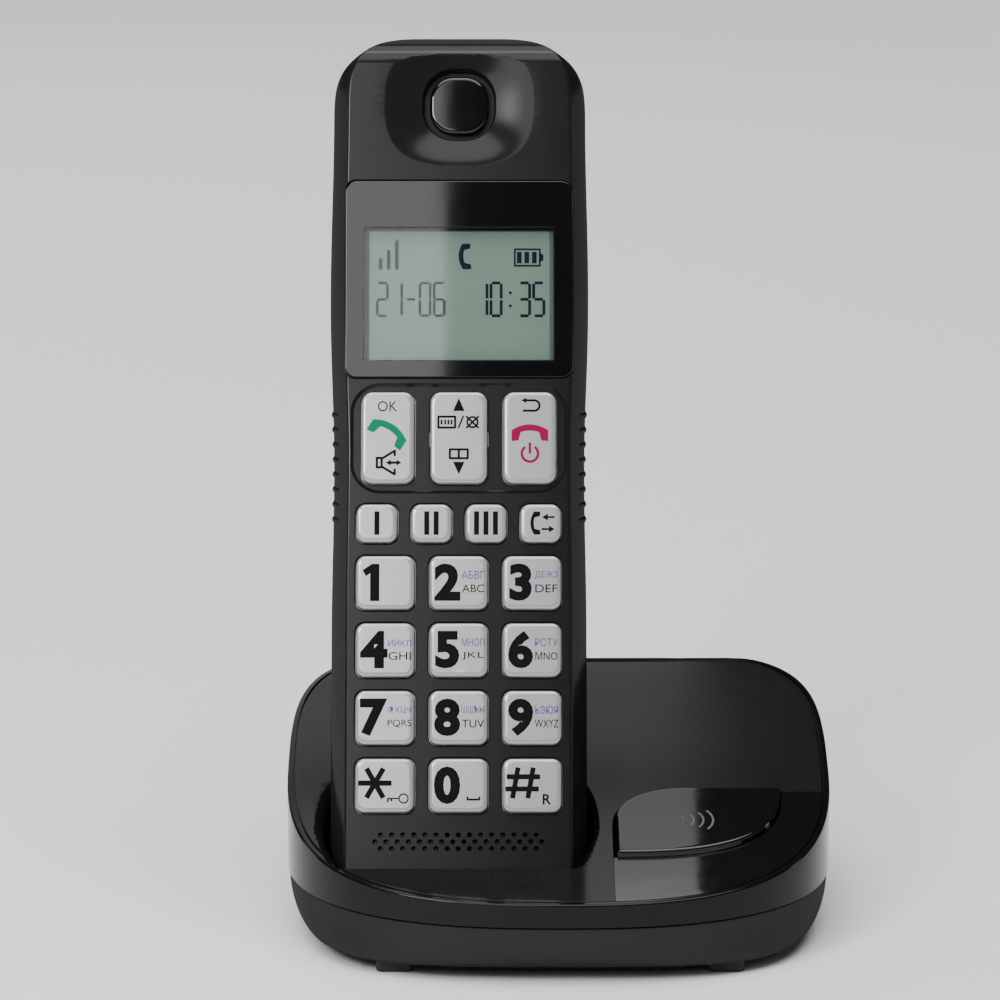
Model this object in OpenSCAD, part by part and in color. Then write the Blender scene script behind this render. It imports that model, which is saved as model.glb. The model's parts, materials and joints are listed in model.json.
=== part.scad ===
// Cordless telephone: a handset that stands in a charging base.
// Millimetres. +Z is up, +X is to the user's right, and +Y is away from the user.
// The origin is on the table, under the middle of the base.
// Handset pieces are drawn in the handset's own frame: x across, y into the handset from its
// front face, z along it from its bottom end. in_handset() leans that frame back into the base.

/* [Handset] */
// Wall thickness of the handset's two shells
handset_wall = 1.8; // [1.4:0.1:2.2]
// Thickness of the handset over the batteries
handset_t = 27; // [26:0.5:34]
// Depth of the seam between the front and rear shells
seam_depth = 11; // [10:0.5:13]
// Width that each side flares out behind the front face
side_flare = 2.3; // [1.5:0.1:3]
// Lean of the handset back from the vertical
lean = 21; // [17:1:24]
// Clearance between the handset and the walls of its pocket
cradle_gap = 0.9; // [0.6:0.1:1.4]
// Travel that lifts the handset clear of the base
lift_travel = 60; // [45:1:90]

/* [Keys] */
// Width of a number key
key_w = 11.1; // [9:0.1:14]
// Height of a number key
key_h = 10.3; // [8:0.1:13]
// Gap between key columns
col_gap = 2.8; // [2.2:0.1:4]
// Gap between key rows
row_gap = 2.55; // [2.2:0.05:4]
// Height of a memory key
memory_h = 7.4; // [6:0.1:9]
// Width of a memory key
memory_w = 7.8; // [6.5:0.1:8.4]
// Height of a function key
function_h = 17.7; // [14:0.1:22]
// Width of the outer function keys
function_w = 10.1; // [8.5:0.1:11]
// Height that a key stands out of the face
key_proud = 1.1; // [0.6:0.1:1.6]
// Clearance around a key in its hole
key_gap = 0.25; // [0.15:0.05:0.4]
// Travel of a key
key_travel = 0.8; // [0.5:0.1:1]
// Margin from the outer keys to the edge of the face
key_margin = 2.7; // [2:0.1:4]

/* [Display and ends] */
// Height of the display lens
lens_h = 38.3; // [34:0.1:48]
// Thickness of the display lens
lens_t = 1; // [0.8:0.1:1.2]
// Height of the clear window
window_h = 25.9; // [20:0.1:30]
// Margin of the window from the side of the lens
window_margin = 3.5; // [3:0.1:6]
// Height from the bottom end to the lowest keys
mouth_zone = 16.8; // [15.5:0.1:22]
// Height from the lens to the middle of the earpiece
ear_zone = 15.1; // [14.5:0.1:20]
// Height from the middle of the earpiece to the top end
crown_zone = 14; // [13:0.1:18]
// Diameter of the earpiece opening
ear_d = 12.6; // [10:0.1:14]

/* [Batteries] */
// Diameter of a battery cell
cell_d = 10.5; // [10:0.1:11]
// Length of a battery cell
cell_len = 44.5; // [42:0.1:46]
// Thickness of the battery cover
cover_t = 1.5; // [1.2:0.1:2]

/* [Base] */
// Width of the base
base_w = 105; // [98:1:130]
// Depth of the base from front to back
base_d = 90; // [86:1:115]
// Height of the rim at the front
front_h = 16.1; // [15.4:0.1:20]
// Height of the top at the back
rear_h = 40.9; // [38:0.1:50]
// Height of the parting line between the two base shells
parting_h = 11.5; // [10.7:0.1:12.9]
// Wall thickness of the base shells
base_wall = 2; // [1.6:0.1:2.6]
// Wall thickness of the pocket that holds the handset
pocket_wall = 1.5; // [1.2:0.1:2]
// Height of the feet below the base
foot_h = 2.5; // [1.6:0.1:3.2]
// Distance from the left side of the base to the handset
pocket_margin = 8.9; // [8.5:0.1:14]
// Distance from the front of the base to the handset's front face at its bottom end
pocket_setback = 13; // [12:0.5:18]
// Thickness of the glossy panel
panel_t = 1.2; // [1:0.1:1.6]
// Depth of the locator button from front to back
button_d = 19.7; // [16:0.1:24]
// Clearance around the locator button
button_gap = 0.25; // [0.15:0.05:0.4]
// Travel of the locator button
button_travel = 0.8; // [0.5:0.1:1.2]
// Distance between the two wall-mount holes
wall_mount_pitch = 50; // [40:1:60]
// Radius of the wall-mount entry holes
wall_mount_r = 4.2; // [3.8:0.1:5]

/* [Hidden] */
$fn = 48;
far = 300;            // longer than any piece, for cuts that run right through
touch = 0.05;         // gap between pieces that rest on each other

// Key grid, worked up from the bottom end.
col_pitch = key_w + col_gap;
row_pitch = key_h + row_gap;
grid_w = 2 * col_pitch + key_w;
row_z = [for (i = [0 : 3]) mouth_zone + key_h / 2 + i * row_pitch];
memory_z = row_z[3] + key_h / 2 + row_gap - 0.05 + memory_h / 2;
memory_pitch = (grid_w - memory_w) / 3;
function_gap = 3.9;
function_z = memory_z + memory_h / 2 + function_gap + function_h / 2;
function_x = (grid_w - function_w) / 2 - 0.9;
navigator_w = function_w + 0.8;
tray_w = grid_w + 1.4;
tray_h = function_h + 3;
tray_depth = 0.6;
nav_tilt = 2.5;       // tilt of the rocker key to either end, in degrees

// Outline of the handset.
face_w = grid_w + 2 * key_margin;
handset_w = face_w + 2 * side_flare;
lens_z = function_z + function_h / 2 + 2.9;
lens_w = face_w - 0.7;
lens_r = 3;
window_w = lens_w - 2 * window_margin;
window_z = lens_z + 3.3;
ear_z = lens_z + lens_h + ear_zone;
handset_len = ear_z + crown_zone;
crown_h = 16.5;
crown_power = 3.5;
back_power = 2.8;
widest_y = 9;
heel_flat = 13;       // flat bottom end, from the front face back
heel_r = 11;
heel_t = handset_t - 3;

// Layers behind the handset's face.
flange_y = handset_wall + 0.1;
flange_t = 0.7;
stem_end = flange_y + flange_t + 0.9;
membrane_y = stem_end + key_travel + touch;
membrane_t = 0.8;
pcb_y = membrane_y + membrane_t + touch;
pcb_t = 1;
stem_r = 1.8;
dome_in = stem_r + 0.5;
dome_out = dome_in + 0.9;
lcd_y = handset_wall + 0.15;

// Battery bay in the back of the handset.
cover_z = 52;
cover_w = 38;
cover_gap = 0.2;
ledge_t = 1.5;
well_y = seam_depth + 2.4;
well_wall = 1.3;
well_x = cell_d + 0.5;
well_z = cover_z + 3.5;
spring_len = 2.6;
plate_t = 0.4;
well_len = cell_len + spring_len + 2 * plate_t + 0.4;
cover_h = well_len + 7;
screw_x = well_x + well_wall + 2.9;
screw_z = lens_z - 0.45;
boss_r = 1.85;
rear_boss_r = 2.8;
screw_r = 1;

// Place of the handset in the base.
handset_x = -base_w / 2 + pocket_margin + handset_w / 2;
seat_gap = 0.3;
heel_drop = heel_flat * sin(lean) + heel_r * (1 - cos(lean));
floor_z = foot_h + base_wall;
seat_z = floor_z + 0.6 + pocket_wall + seat_gap + heel_drop;
seat_y = -base_d / 2 + pocket_setback;
contact_x = 9;
contact_y = 7;
contact_travel = 0.7;

// Outline of the base.
plan_front_power = 2.5;
plan_back_power = 3.4;
crest_y = base_d / 2 - 5;
pocket_right = handset_x + handset_w / 2 + cradle_gap;
panel_x = pocket_right + 4;
panel_back = -7.5;
panel_edge = 0.9;
button_x = panel_x + button_gap - touch;
button_w = base_w / 2 - 9.9 - button_x;
button_proud = 1.2;
shoulder_w = 0.45;    // share of the button's width and depth that its rounded shoulder takes
shoulder_d = 0.48;
button_back = panel_back - button_gap + touch;

// Circuit board and jacks in the base.
base_pcb_z = floor_z + 3.2;
base_pcb_t = 1.2;
board_x = pocket_right + pocket_wall + 4;
jack_z = base_pcb_z + base_pcb_t + touch;
line_jack_x = -8;
power_jack_x = 14;
jack_back = base_d / 2 - base_wall - 1.6;
line_jack_w = 13;
line_jack_len = 16;
line_jack_h = 12.5;
line_port = [9.8, 6.6];
power_jack_w = 9;
power_jack_h = 11;
power_port_r = 3.2;
switch_x = button_x + button_w * 0.45;
switch_y = panel_back - button_d * 0.5;
switch_h = 4.3;
base_screw_at = [[panel_x + 6, -base_d / 2 + 12], [base_w / 2 - 11, 24], [-base_w / 2 + 11, 24]];
foot_at = [for (sx = [-1, 1], sy = [-1, 1]) [sx * (base_w / 2 - 21.3), sy * (base_d / 2 - 10.4)]];
foot_l = 7;
foot_w = 4;

// ---- Shared shapes ----

function arc(c, r, from, to, n = 6) =
    [for (i = [0 : n]) let (a = from + (to - from) * i / n) c + r * [cos(a), sin(a)]];

// Points of one quarter of a superellipse, from the end of its x axis to the end of its y axis.
function quarter(rx, ry, power, n = 8) =
    [for (i = [0 : n]) let (a = 90 * i / n) [rx * pow(cos(a), 2 / power), ry * pow(sin(a), 2 / power)]];

function reversed(p) = [for (i = [len(p) - 1 : -1 : 0]) p[i]];
function mirrored_x(p) = [for (q = reversed(p)) [-q[0], q[1]]];
function shifted(p, d) = [for (q = p) q + d];

function rounded(w, h, r, n = 3) = concat(
    arc([w / 2 - r, h / 2 - r], r, 0, 90, n), arc([-w / 2 + r, h / 2 - r], r, 90, 180, n),
    arc([-w / 2 + r, -h / 2 + r], r, 180, 270, n), arc([w / 2 - r, -h / 2 + r], r, 270, 360, n));

// A bell of height 1 centred on c, which falls to 0 at distance r.
function bell(z, c, r) = abs(z - c) < r ? (1 + cos(180 * (z - c) / r)) / 2 : 0;

// Extrusions of a flat outline along x, or along y.
module along_x(from, to) {
    translate([from, 0, 0]) rotate([90, 0, 90]) linear_extrude(to - from) children();
}

module along_y(from, to) {
    translate([0, to, 0]) rotate([90, 0, 0]) linear_extrude(to - from) children();
}

module inset(by) {
    if (by == 0) children();
    else offset(delta = -by) children();
}

module block(lo, hi) {
    translate(lo) cube(hi - lo);
}

module rounded_block(w, h, r, from, to) {
    along_y(from, to) polygon(rounded(w, h, r));
}

module in_handset() {
    translate([handset_x, seat_y, seat_z]) rotate([-lean, 0, 0]) children();
}

// ---- Handset outline ----

// Half the handset's width at height z: a slight waist at the grip and a slight swell at the display.
function half_w(z) = handset_w / 2 - 0.35 * bell(z, function_z - 6, 30) + 0.5 * bell(z, lens_z + 18, 34);

function front_outline() = let (
    side = [for (z = [6, 20, 40, 55, 64, 73, 82, 91, 100, 109, 118, 127, 136])
            if (z < handset_len - crown_h) [half_w(z), z]],
    crown = shifted(quarter(half_w(handset_len - crown_h), crown_h, crown_power, 10),
                    [0, handset_len - crown_h]),
    heel = arc([handset_w / 2 - 5, 5], 5, -90, 0, 4),
    right = concat(heel, side, crown))
    concat(right, mirrored_x([for (i = [0 : len(right) - 2]) right[i]]));

// Thickness at height z: full over the batteries, thinner towards the ear.
function back_y(z) = let (u = max(0, (z - cover_z - cover_h) / (handset_len - cover_z - cover_h)))
    handset_t - 7 * u * u;

function side_outline() = concat(
    arc([3, 3], 3, 180, 270, 4),
    arc([heel_flat, heel_r], heel_r, 270, 360 - 2, 6),
    [[heel_t + 1.6, 20], [handset_t - 0.4, 31], [handset_t, 42]],
    [for (z = [cover_z + cover_h : 8 : handset_len - 9]) [back_y(z), z]],
    arc([back_y(handset_len) - 8 + 0.4, handset_len - 8], 8, 0, 90, 5),
    arc([6, handset_len - 6], 6, 90, 180, 5));

function cross_section() = let (
    f = face_w / 2,
    front = concat(arc([f - 0.8, 0.8], 0.8, 270, 330, 2),
                   [[f + 0.7, 2.2], [f + side_flare - 0.8, 4.8], [f + side_flare, 7.4]]),
    back = shifted(quarter(f + side_flare + 0.5, handset_t - widest_y, back_power, 9), [0, widest_y]),
    right = concat(front, back))
    concat(right, mirrored_x([for (i = [0 : len(right) - 2]) right[i]]));

// The whole handset as one body, with every face moved inwards by d, and grown upwards by extra.
module handset_body(d = 0) {
    intersection() {
        along_y(-5, handset_t + 5) inset(d) polygon(front_outline());
        along_x(-far, far) inset(d) polygon(side_outline());
        translate([0, 0, -5]) linear_extrude(handset_len + 10) inset(d) polygon(cross_section());
    }
}

module handset_skin(outer, inner) {
    difference() {
        handset_body(outer);
        handset_body(inner);
    }
}

// ---- Keys ----

KEYS = [
    ["key_star", -col_pitch, row_z[0], key_w, key_h], ["key_0", 0, row_z[0], key_w, key_h],
    ["key_hash", col_pitch, row_z[0], key_w, key_h],
    ["key_7", -col_pitch, row_z[1], key_w, key_h], ["key_8", 0, row_z[1], key_w, key_h],
    ["key_9", col_pitch, row_z[1], key_w, key_h],
    ["key_4", -col_pitch, row_z[2], key_w, key_h], ["key_5", 0, row_z[2], key_w, key_h],
    ["key_6", col_pitch, row_z[2], key_w, key_h],
    ["key_1", -col_pitch, row_z[3], key_w, key_h], ["key_2", 0, row_z[3], key_w, key_h],
    ["key_3", col_pitch, row_z[3], key_w, key_h],
    ["key_memory_1", -1.5 * memory_pitch, memory_z, memory_w, memory_h],
    ["key_memory_2", -0.5 * memory_pitch, memory_z, memory_w, memory_h],
    ["key_memory_3", 0.5 * memory_pitch, memory_z, memory_w, memory_h],
    ["key_redial", 1.5 * memory_pitch, memory_z, memory_w, memory_h],
    ["key_talk", -function_x, function_z, function_w, function_h],
    ["key_off", function_x, function_z, function_w, function_h],
    ["key_navigator", 0, function_z, navigator_w, function_h]
];
key_r = 1.8;
nav_stem = 5.5;
nav_pivot_y = flange_y + 0.2 + flange_t / 2;

// Where a key's stems press, measured from its middle.
function stems(name) = name == "key_navigator" ? [-nav_stem, nav_stem] : [0];

module key_cap(k) {
    name = k[0];
    rocker = name == "key_navigator";
    // The rocker is held only near its pivot, and its stems are longer, because it tilts.
    flange_grow = 0.8;
    flange_h = rocker ? 4 : k[4] + 1;
    flange_at = rocker ? flange_y + 0.2 : flange_y;
    stem_to = rocker ? membrane_y - nav_stem * sin(nav_tilt) - 0.1 : stem_end;
    color("gainsboro") translate([k[1], 0, k[2]]) {
        rounded_block(k[3], k[4], key_r, -key_proud, flange_y + flange_t / 2);
        rounded_block(k[3] + 2 * flange_grow, flange_h, key_r, flange_at, flange_at + flange_t);
        for (s = stems(name))
            translate([0, 0, s]) rotate([-90, 0, 0])
                translate([0, 0, flange_y]) cylinder(r = stem_r, h = stem_to - flange_y);
        // The round bar that the rocker turns on.
        if (rocker) translate([0, nav_pivot_y, 0]) rotate([0, 90, 0])
            cylinder(r = membrane_y - touch - nav_pivot_y, h = 6, center = true);
    }
}

module key_named(name) {
    for (k = KEYS) if (k[0] == name) key_cap(k);
}

// ---- Handset pieces ----

module lens_outline(grow = 0) {
    translate([0, lens_z + lens_h / 2])
        polygon(rounded(lens_w + 2 * grow, lens_h + 2 * grow, lens_r + grow, 4));
}

module window_outline(grow = 0) {
    translate([0, window_z + window_h / 2])
        polygon(rounded(window_w + 2 * grow, window_h + 2 * grow, 0.8, 2));
}

mic_z = 11.4;
mic_pitch = 2.1;

module mic_holes() {
    for (row = [-1, 0, 1], i = [-7 : (row == 0 ? 8 : 7)])
        translate([(i - (row == 0 ? 0.5 : 0)) * mic_pitch, -1, mic_z + row * 1.3])
            rotate([-90, 0, 0]) cylinder(r = 0.42, h = handset_wall + 2);
}

dish_r = 32;          // sphere that hollows the ear dish
dish_depth = 2.4;
ear_boss_r = ear_d / 2 + 4.5;
ear_back = dish_depth + 2.4;

module ear_dish() {
    translate([0, dish_depth - dish_r, ear_z - 0.4]) sphere(r = dish_r);
}

module earpiece_hole(grow, from, to) {
    translate([0, 0, ear_z]) rounded_block(ear_d + 2 * grow, ear_d + 2 * grow, 4.6, from, to);
}

module handset_front_shell() {
    color("#242424") difference() {
        union() {
            intersection() {
                handset_skin(0, handset_wall);
                block([-far, -far, -far], [far, seam_depth, far]);
            }
            intersection() {
                translate([0, handset_wall - 0.3, ear_z]) rotate([-90, 0, 0])
                    cylinder(r = ear_boss_r, h = ear_back - handset_wall + 0.3);
                handset_body(handset_wall - 0.2);
            }
            for (sx = [-1, 1])
                translate([sx * screw_x, handset_wall - 0.3, screw_z]) rotate([-90, 0, 0])
                    cylinder(r = boss_r, h = seam_depth - handset_wall + 0.3);
            // Grip ridges on both sides.
            intersection() {
                difference() {
                    handset_body(-grip_proud);
                    handset_body(0.3);
                }
                for (i = [0 : grip_n - 1]) translate([0, 0, grip_z + i * grip_pitch])
                    block([-far, seam_depth - 5.2, -0.55], [far, seam_depth, 0.55]);
            }
        }
        for (k = KEYS)
            translate([k[1], 0, k[2]])
                rounded_block(k[3] + 2 * key_gap, k[4] + 2 * key_gap, key_r + key_gap, -3, flange_y);
        translate([0, 0, function_z]) rounded_block(tray_w, tray_h, 5, -3, tray_depth);
        along_y(-3, lens_t + touch) lens_outline(0.15);
        along_y(-3, handset_wall + 1) window_outline(0.5);
        ear_dish();
        earpiece_hole(0.2, -3, ear_back + 1);
        mic_holes();
        for (sx = [-1, 1]) {
            translate([sx * screw_x, seam_depth - 6, screw_z]) rotate([-90, 0, 0])
                cylinder(r = screw_r, h = 7);
            block([sx * contact_x - 2.2, contact_y - 3, -1], [sx * contact_x + 2.2, contact_y + 3, 0.4]);
            block([sx * contact_x - 1, contact_y - 1.9, -1],
                  [sx * contact_x + 1, contact_y - 1.3, handset_wall + 1]);
        }
    }
}

grip_n = 8;
grip_z = memory_z + 1.5;
grip_pitch = 2.9;
grip_proud = 0.3;

module cover_region(gap) {
    block([-cover_w / 2 + gap, widest_y + 5, cover_z + gap],
          [cover_w / 2 - gap, far, cover_z + cover_h - gap]);
}

module battery_well(grow) {
    block([-well_x - grow, well_y - grow, well_z - grow],
          [well_x + grow, handset_t - cover_t - cover_gap - 1, well_z + well_len + grow]);
}

speaker_z = lens_z + lens_h - 12;
speaker_r = 10;
speaker_back = back_y(speaker_z + speaker_r) - handset_wall - 0.5;

module handset_rear_shell() {
    color("#222222") difference() {
        union() {
            intersection() {
                difference() {
                    handset_skin(0, handset_wall);
                    cover_region(0);
                }
                block([-far, seam_depth, -far], [far, far, far]);
            }
            // The ledge that the cover lies on, and the bay for the cells.
            intersection() {
                handset_skin(cover_t + cover_gap, cover_t + cover_gap + ledge_t);
                block([-cover_w / 2 - 1.5, widest_y + 5, cover_z - 1.5],
                      [cover_w / 2 + 1.5, far, cover_z + cover_h + 1.5]);
            }
            intersection() {
                battery_well(well_wall);
                handset_body(cover_t + cover_gap + 0.1);
            }
            intersection() {
                for (sx = [-1, 1])
                    translate([sx * screw_x, seam_depth, screw_z]) rotate([-90, 0, 0])
                        cylinder(r = rear_boss_r, h = handset_t);
                handset_body(cover_t + cover_gap + 0.1);
            }
        }
        battery_well(0);
        block([-well_x, handset_t - cover_t - cover_gap - 1.5, well_z],
              [well_x, far, well_z + well_len]);
        for (sx = [-1, 1])
            translate([sx * screw_x, seam_depth - 1, screw_z]) rotate([-90, 0, 0]) {
                cylinder(r = screw_r + 0.2, h = far);
                translate([0, 0, 10.6]) cylinder(r = 2, h = far);
            }
        for (i = [-2 : 2])
            block([-7 + abs(i), widest_y + 5, speaker_z + i * 3 - 0.7],
                  [7 - abs(i), far, speaker_z + i * 3 + 0.7]);
        // The heel of the shell is open over the charge contacts' tabs in the front shell.
        block([-contact_x - 3, seam_depth - 1, handset_wall], [contact_x + 3, seam_depth, 6]);
    }
}

module display_lens() {
    color("black") along_y(0, lens_t) lens_outline();
}

lcd_grow = 1.1;

module lcd_glass() {
    color("#8fa398") along_y(lcd_y, lcd_y + 1.5) window_outline(lcd_grow);
}

module lcd_backlight() {
    color("white") along_y(lcd_y + 1.55, lcd_y + 2.6) window_outline(lcd_grow);
}

module lcd_frame() {
    color("dimgray") difference() {
        along_y(lcd_y, pcb_y - touch) window_outline(lcd_grow + 0.7);
        along_y(lcd_y - 1, lcd_y + 2.65) window_outline(lcd_grow + 0.05);
    }
}

module earpiece_cap() {
    cap_front = dish_depth - 0.7;
    color("black") difference() {
        union() {
            earpiece_hole(-0.15, cap_front, ear_back - 0.6);
            earpiece_hole(-0.15, ear_back - 0.65, ear_back);
        }
        for (i = [-1 : 1])
            block([ear_d / 2 - 1.2, 0, ear_z + i * 2.4 - 0.5], [ear_d / 2 - 0.5, far, ear_z + i * 2.4 + 0.5]);
    }
}

module receiver_gasket() {
    color("#3a3a3a") translate([0, ear_back + touch, ear_z]) rotate([-90, 0, 0]) difference() {
        cylinder(r = ear_boss_r - 1.5, h = 0.8);
        translate([0, 0, -1]) cylinder(r = ear_boss_r - 4, h = 3);
    }
}

module earpiece_speaker() {
    color("silver") translate([0, ear_back + 0.9, ear_z]) rotate([-90, 0, 0]) {
        cylinder(r = ear_boss_r - 1.5, h = 2.2);
        translate([0, 0, 2.2]) cylinder(r = ear_boss_r - 4, h = 1.8);
    }
}

module keypad_membrane() {
    low = mouth_zone - 1.3;
    high = function_z + function_h / 2 + 0.3;
    color("#505050") {
        difference() {
            block([-grid_w / 2 - 0.6, membrane_y, low], [grid_w / 2 + 0.6, membrane_y + membrane_t, high]);
        }
        for (k = KEYS, s = stems(k[0]))
            translate([k[1], membrane_y - 0.7, k[2] + s]) rotate([-90, 0, 0]) difference() {
                cylinder(r = dome_out, h = 0.7 + membrane_t / 2);
                translate([0, 0, -1]) cylinder(r = dome_in, h = 1.7);
            }
    }
}

module handset_pcb() {
    color("darkgreen") difference() {
        block([-face_w / 2 + 1.6, pcb_y, 6.5], [face_w / 2 - 1.6, pcb_y + pcb_t, lens_z + lens_h + 2]);
        for (sx = [-1, 1])
            translate([sx * screw_x, pcb_y - 1, screw_z]) rotate([-90, 0, 0])
                cylinder(r = boss_r + 0.3, h = 3);
    }
}

shield_y = pcb_y + pcb_t + touch;

module handset_shield() {
    color("silver") difference() {
        block([-13, shield_y, screw_z + 5], [13, shield_y + 2.2, speaker_z - speaker_r + 14]);
        block([-12.7, shield_y - 1, screw_z + 5.3], [12.7, shield_y + 1.9, speaker_z - speaker_r + 13.7]);
    }
}

module mic_boot() {
    color("#2b2b2b") translate([0, handset_wall + touch, mic_z]) rotate([-90, 0, 0]) difference() {
        cylinder(r = 3, h = 2.6);
        translate([0, 0, 0.8]) cylinder(r = 2.05, h = 3);
        translate([0, 0, -1]) cylinder(r = 0.7, h = 3);
    }
}

module microphone() {
    color("silver") translate([0, handset_wall + 0.9, mic_z]) rotate([-90, 0, 0]) cylinder(r = 2, h = 1.5);
}

module loudspeaker() {
    color("#333333") translate([0, speaker_back, speaker_z]) rotate([90, 0, 0]) {
        cylinder(r = speaker_r, h = 2.6);
        translate([0, 0, 2.6]) cylinder(r = speaker_r - 3, h = 2);
    }
}

module battery_cover() {
    color("#222222") difference() {
        intersection() {
            handset_skin(0, cover_t);
            cover_region(cover_gap);
        }
        for (i = [0 : 4])
            block([-6, handset_t - 0.4, cover_z + cover_h - 9 + i * 1.5],
                  [6, far, cover_z + cover_h - 8.2 + i * 1.5]);
    }
}

cell_y = well_y + 0.15 + cell_d / 2;
plate_low = well_z + 0.15;
plate_high = plate_low + plate_t + spring_len + cell_len + 2 * touch;

// The two cells lie side by side, one each way up, each with its flat end on a spring.
function cell_x(i) = (i == 0 ? -1 : 1) * (cell_d / 2 + 0.15);
function cell_z(i) = plate_low + plate_t + touch + (i == 0 ? spring_len : 0);

module battery(i) {
    nub = 1;
    color("#3c7a46") translate([cell_x(i), cell_y, cell_z(i) + (i == 0 ? 0 : nub)])
        cylinder(r = cell_d / 2, h = cell_len - nub);
    color("silver") translate([cell_x(i), cell_y, cell_z(i) + (i == 0 ? cell_len - nub : 0)])
        cylinder(r = 1.9, h = nub);
}

// A coil spring as a swept tube of six sides.
function coil_ring(c, a, wire) = [for (j = [0 : 5]) let (b = 60 * j)
    [c[0] + wire * cos(b) * cos(a), c[1] + wire * cos(b) * sin(a), c[2] + wire * sin(b)]];

module coil(r_low, r_high, h, turns, wire) {
    n = turns * 14;
    rings = [for (i = [0 : n]) let (u = i / n, a = 360 * turns * u, r = r_low + (r_high - r_low) * u)
        coil_ring([r * cos(a), r * sin(a), wire + (h - 2 * wire) * u], a, wire)];
    points = [for (ring = rings, p = ring) p];
    sides = [for (i = [0 : n - 1], j = [0 : 5]) let (k = (j + 1) % 6)
        [i * 6 + j, (i + 1) * 6 + j, (i + 1) * 6 + k, i * 6 + k]];
    ends = [[0, 1, 2, 3, 4, 5], [for (j = [5 : -1 : 0]) n * 6 + j]];
    polyhedron(points = points, faces = concat(sides, ends));
}

module battery_springs() {
    h = spring_len - 2 * touch;
    color("silver") {
        translate([cell_x(0), cell_y, plate_low + plate_t + touch]) coil(3.4, 2, h, 3, 0.3);
        translate([cell_x(1), cell_y, cell_z(1) + cell_len + touch]) coil(2, 3.4, h, 3, 0.3);
    }
}

module battery_plates() {
    color("silver") {
        for (i = [0, 1])
            block([cell_x(i) - 4, cell_y - 4, plate_low], [cell_x(i) + 4, cell_y + 4, plate_low + plate_t]);
        block([-cell_d + 1.5, cell_y - 4, plate_high], [cell_d - 1.5, cell_y + 4, plate_high + plate_t]);
    }
}

module handset_charge_contacts() {
    color("gold") for (sx = [-1, 1]) union() {
        block([sx * contact_x - 2, contact_y - 2.8, 0.05], [sx * contact_x + 2, contact_y + 2.8, 0.35]);
        block([sx * contact_x - 0.8, contact_y - 1.75, 0.05],
              [sx * contact_x + 0.8, contact_y - 1.45, handset_wall + 3]);
    }
}

module handset_screws() {
    color("silver") for (sx = [-1, 1])
        translate([sx * screw_x, seam_depth - 5, screw_z]) rotate([-90, 0, 0]) union() {
            cylinder(r = screw_r - 0.05, h = 15);
            translate([0, 0, 14.7]) difference() {
                cylinder(r = 1.8, h = 1.2);
                for (a = [0, 90]) rotate([0, 0, a])
                    translate([-1.2, -0.2, 0.6]) cube([2.4, 0.4, 1]);
            }
        }
}

// ---- Base outline ----

// The outline from above; at 1 it is the outline of the bottom, which is smaller and squarer.
function base_plan(low = 0) = let (
    w = base_w / 2 - 5.5 * low, d = base_d / 2 - 4.1 * low,
    front = quarter(w, d, plan_front_power + 1.5 * low, 14),
    back = quarter(w, d, plan_back_power + 0.6 * low, 12),
    right = concat([for (p = reversed(front)) [p[0], -p[1]]], [for (i = [1 : len(back) - 1]) back[i]]))
    concat(right, [for (i = [len(right) - 2 : -1 : 1]) [-right[i][0], right[i][1]]]);

// Height of the top surface: gentle at the front rim, steeper in the middle, level at the crest.
function top_z(y) = let (t = max(0, min(1, (y + base_d / 2) / (crest_y + base_d / 2))))
    front_h + (rear_h - front_h) * (0.4 * t + 0.6 * (3 * t * t - 2 * t * t * t));

function base_side() = concat(
    [[-base_d / 2 + 3.8, foot_h], [-base_d / 2 + 1.8, foot_h + 1.6], [-base_d / 2 + 0.6, foot_h + 4],
     [-base_d / 2, parting_h - 2], [-base_d / 2, front_h]],
    [for (i = [1 : 15]) let (y = -base_d / 2 + (crest_y - 3 + base_d / 2) * i / 15) [y, top_z(y)]],
    [[crest_y, rear_h - 0.5], [base_d / 2 - 2.2, rear_h - 2], [base_d / 2 - 0.6, rear_h - 4.6],
     [base_d / 2, rear_h - 8], [base_d / 2, parting_h - 2], [base_d / 2 - 1.2, foot_h + 2.4],
     [base_d / 2 - 4, foot_h]]);

function base_front() = let (
    shoulder = quarter(16, 11, 2.6, 8),
    right = concat(
        [[base_w / 2 - 5.2, foot_h], [base_w / 2 - 2.6, foot_h + 2], [base_w / 2 - 0.9, foot_h + 5.4],
         [base_w / 2 - 0.3, parting_h], [base_w / 2, parting_h + 4]],
        shifted(shoulder, [base_w / 2 - 16, rear_h - 11])))
    concat(right, mirrored_x(right));

module base_body(d = 0) {
    intersection() {
        linear_extrude(far) inset(d) polygon(base_plan());
        along_x(-far, far) inset(d) polygon(base_side());
        along_y(-far, far) inset(d) polygon(base_front());
    }
}

// The pocket's space, or its outside, as the handset's lower end grown by a gap and drawn upwards.
module pocket_space(grow) {
    in_handset() intersection() {
        along_y(-5 - grow, handset_t + 5 + grow) inset(-grow) polygon(front_outline());
        along_x(-far, far) inset(-grow) polygon(side_outline());
        translate([0, 0, -5 - grow]) linear_extrude(handset_len / 2) inset(-grow) polygon(cross_section());
        block([-far, -far, -seat_gap - max(0, grow - cradle_gap)], [far, far, far]);
    }
}

module button_outline(grow = 0) {
    w = button_w + grow;
    d = button_d + grow;
    corner = shifted(quarter(w, d, 2.6, 12), [button_x, -button_back]);
    lower = [for (p = corner) [p[0], -p[1]]];
    shoulder = shifted(
        [for (p = quarter(button_w * shoulder_w, button_d * shoulder_d, 2.2, 6)) [-p[0], p[1]]],
        [button_x + button_w * shoulder_w, button_back - button_d * shoulder_d]);
    polygon(concat([[button_x + button_w + grow, button_back + grow]], lower,
                   [[button_x - grow, button_back - button_d - grow]],
                   [for (p = shoulder) p + [-grow, grow]]));
}

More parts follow.
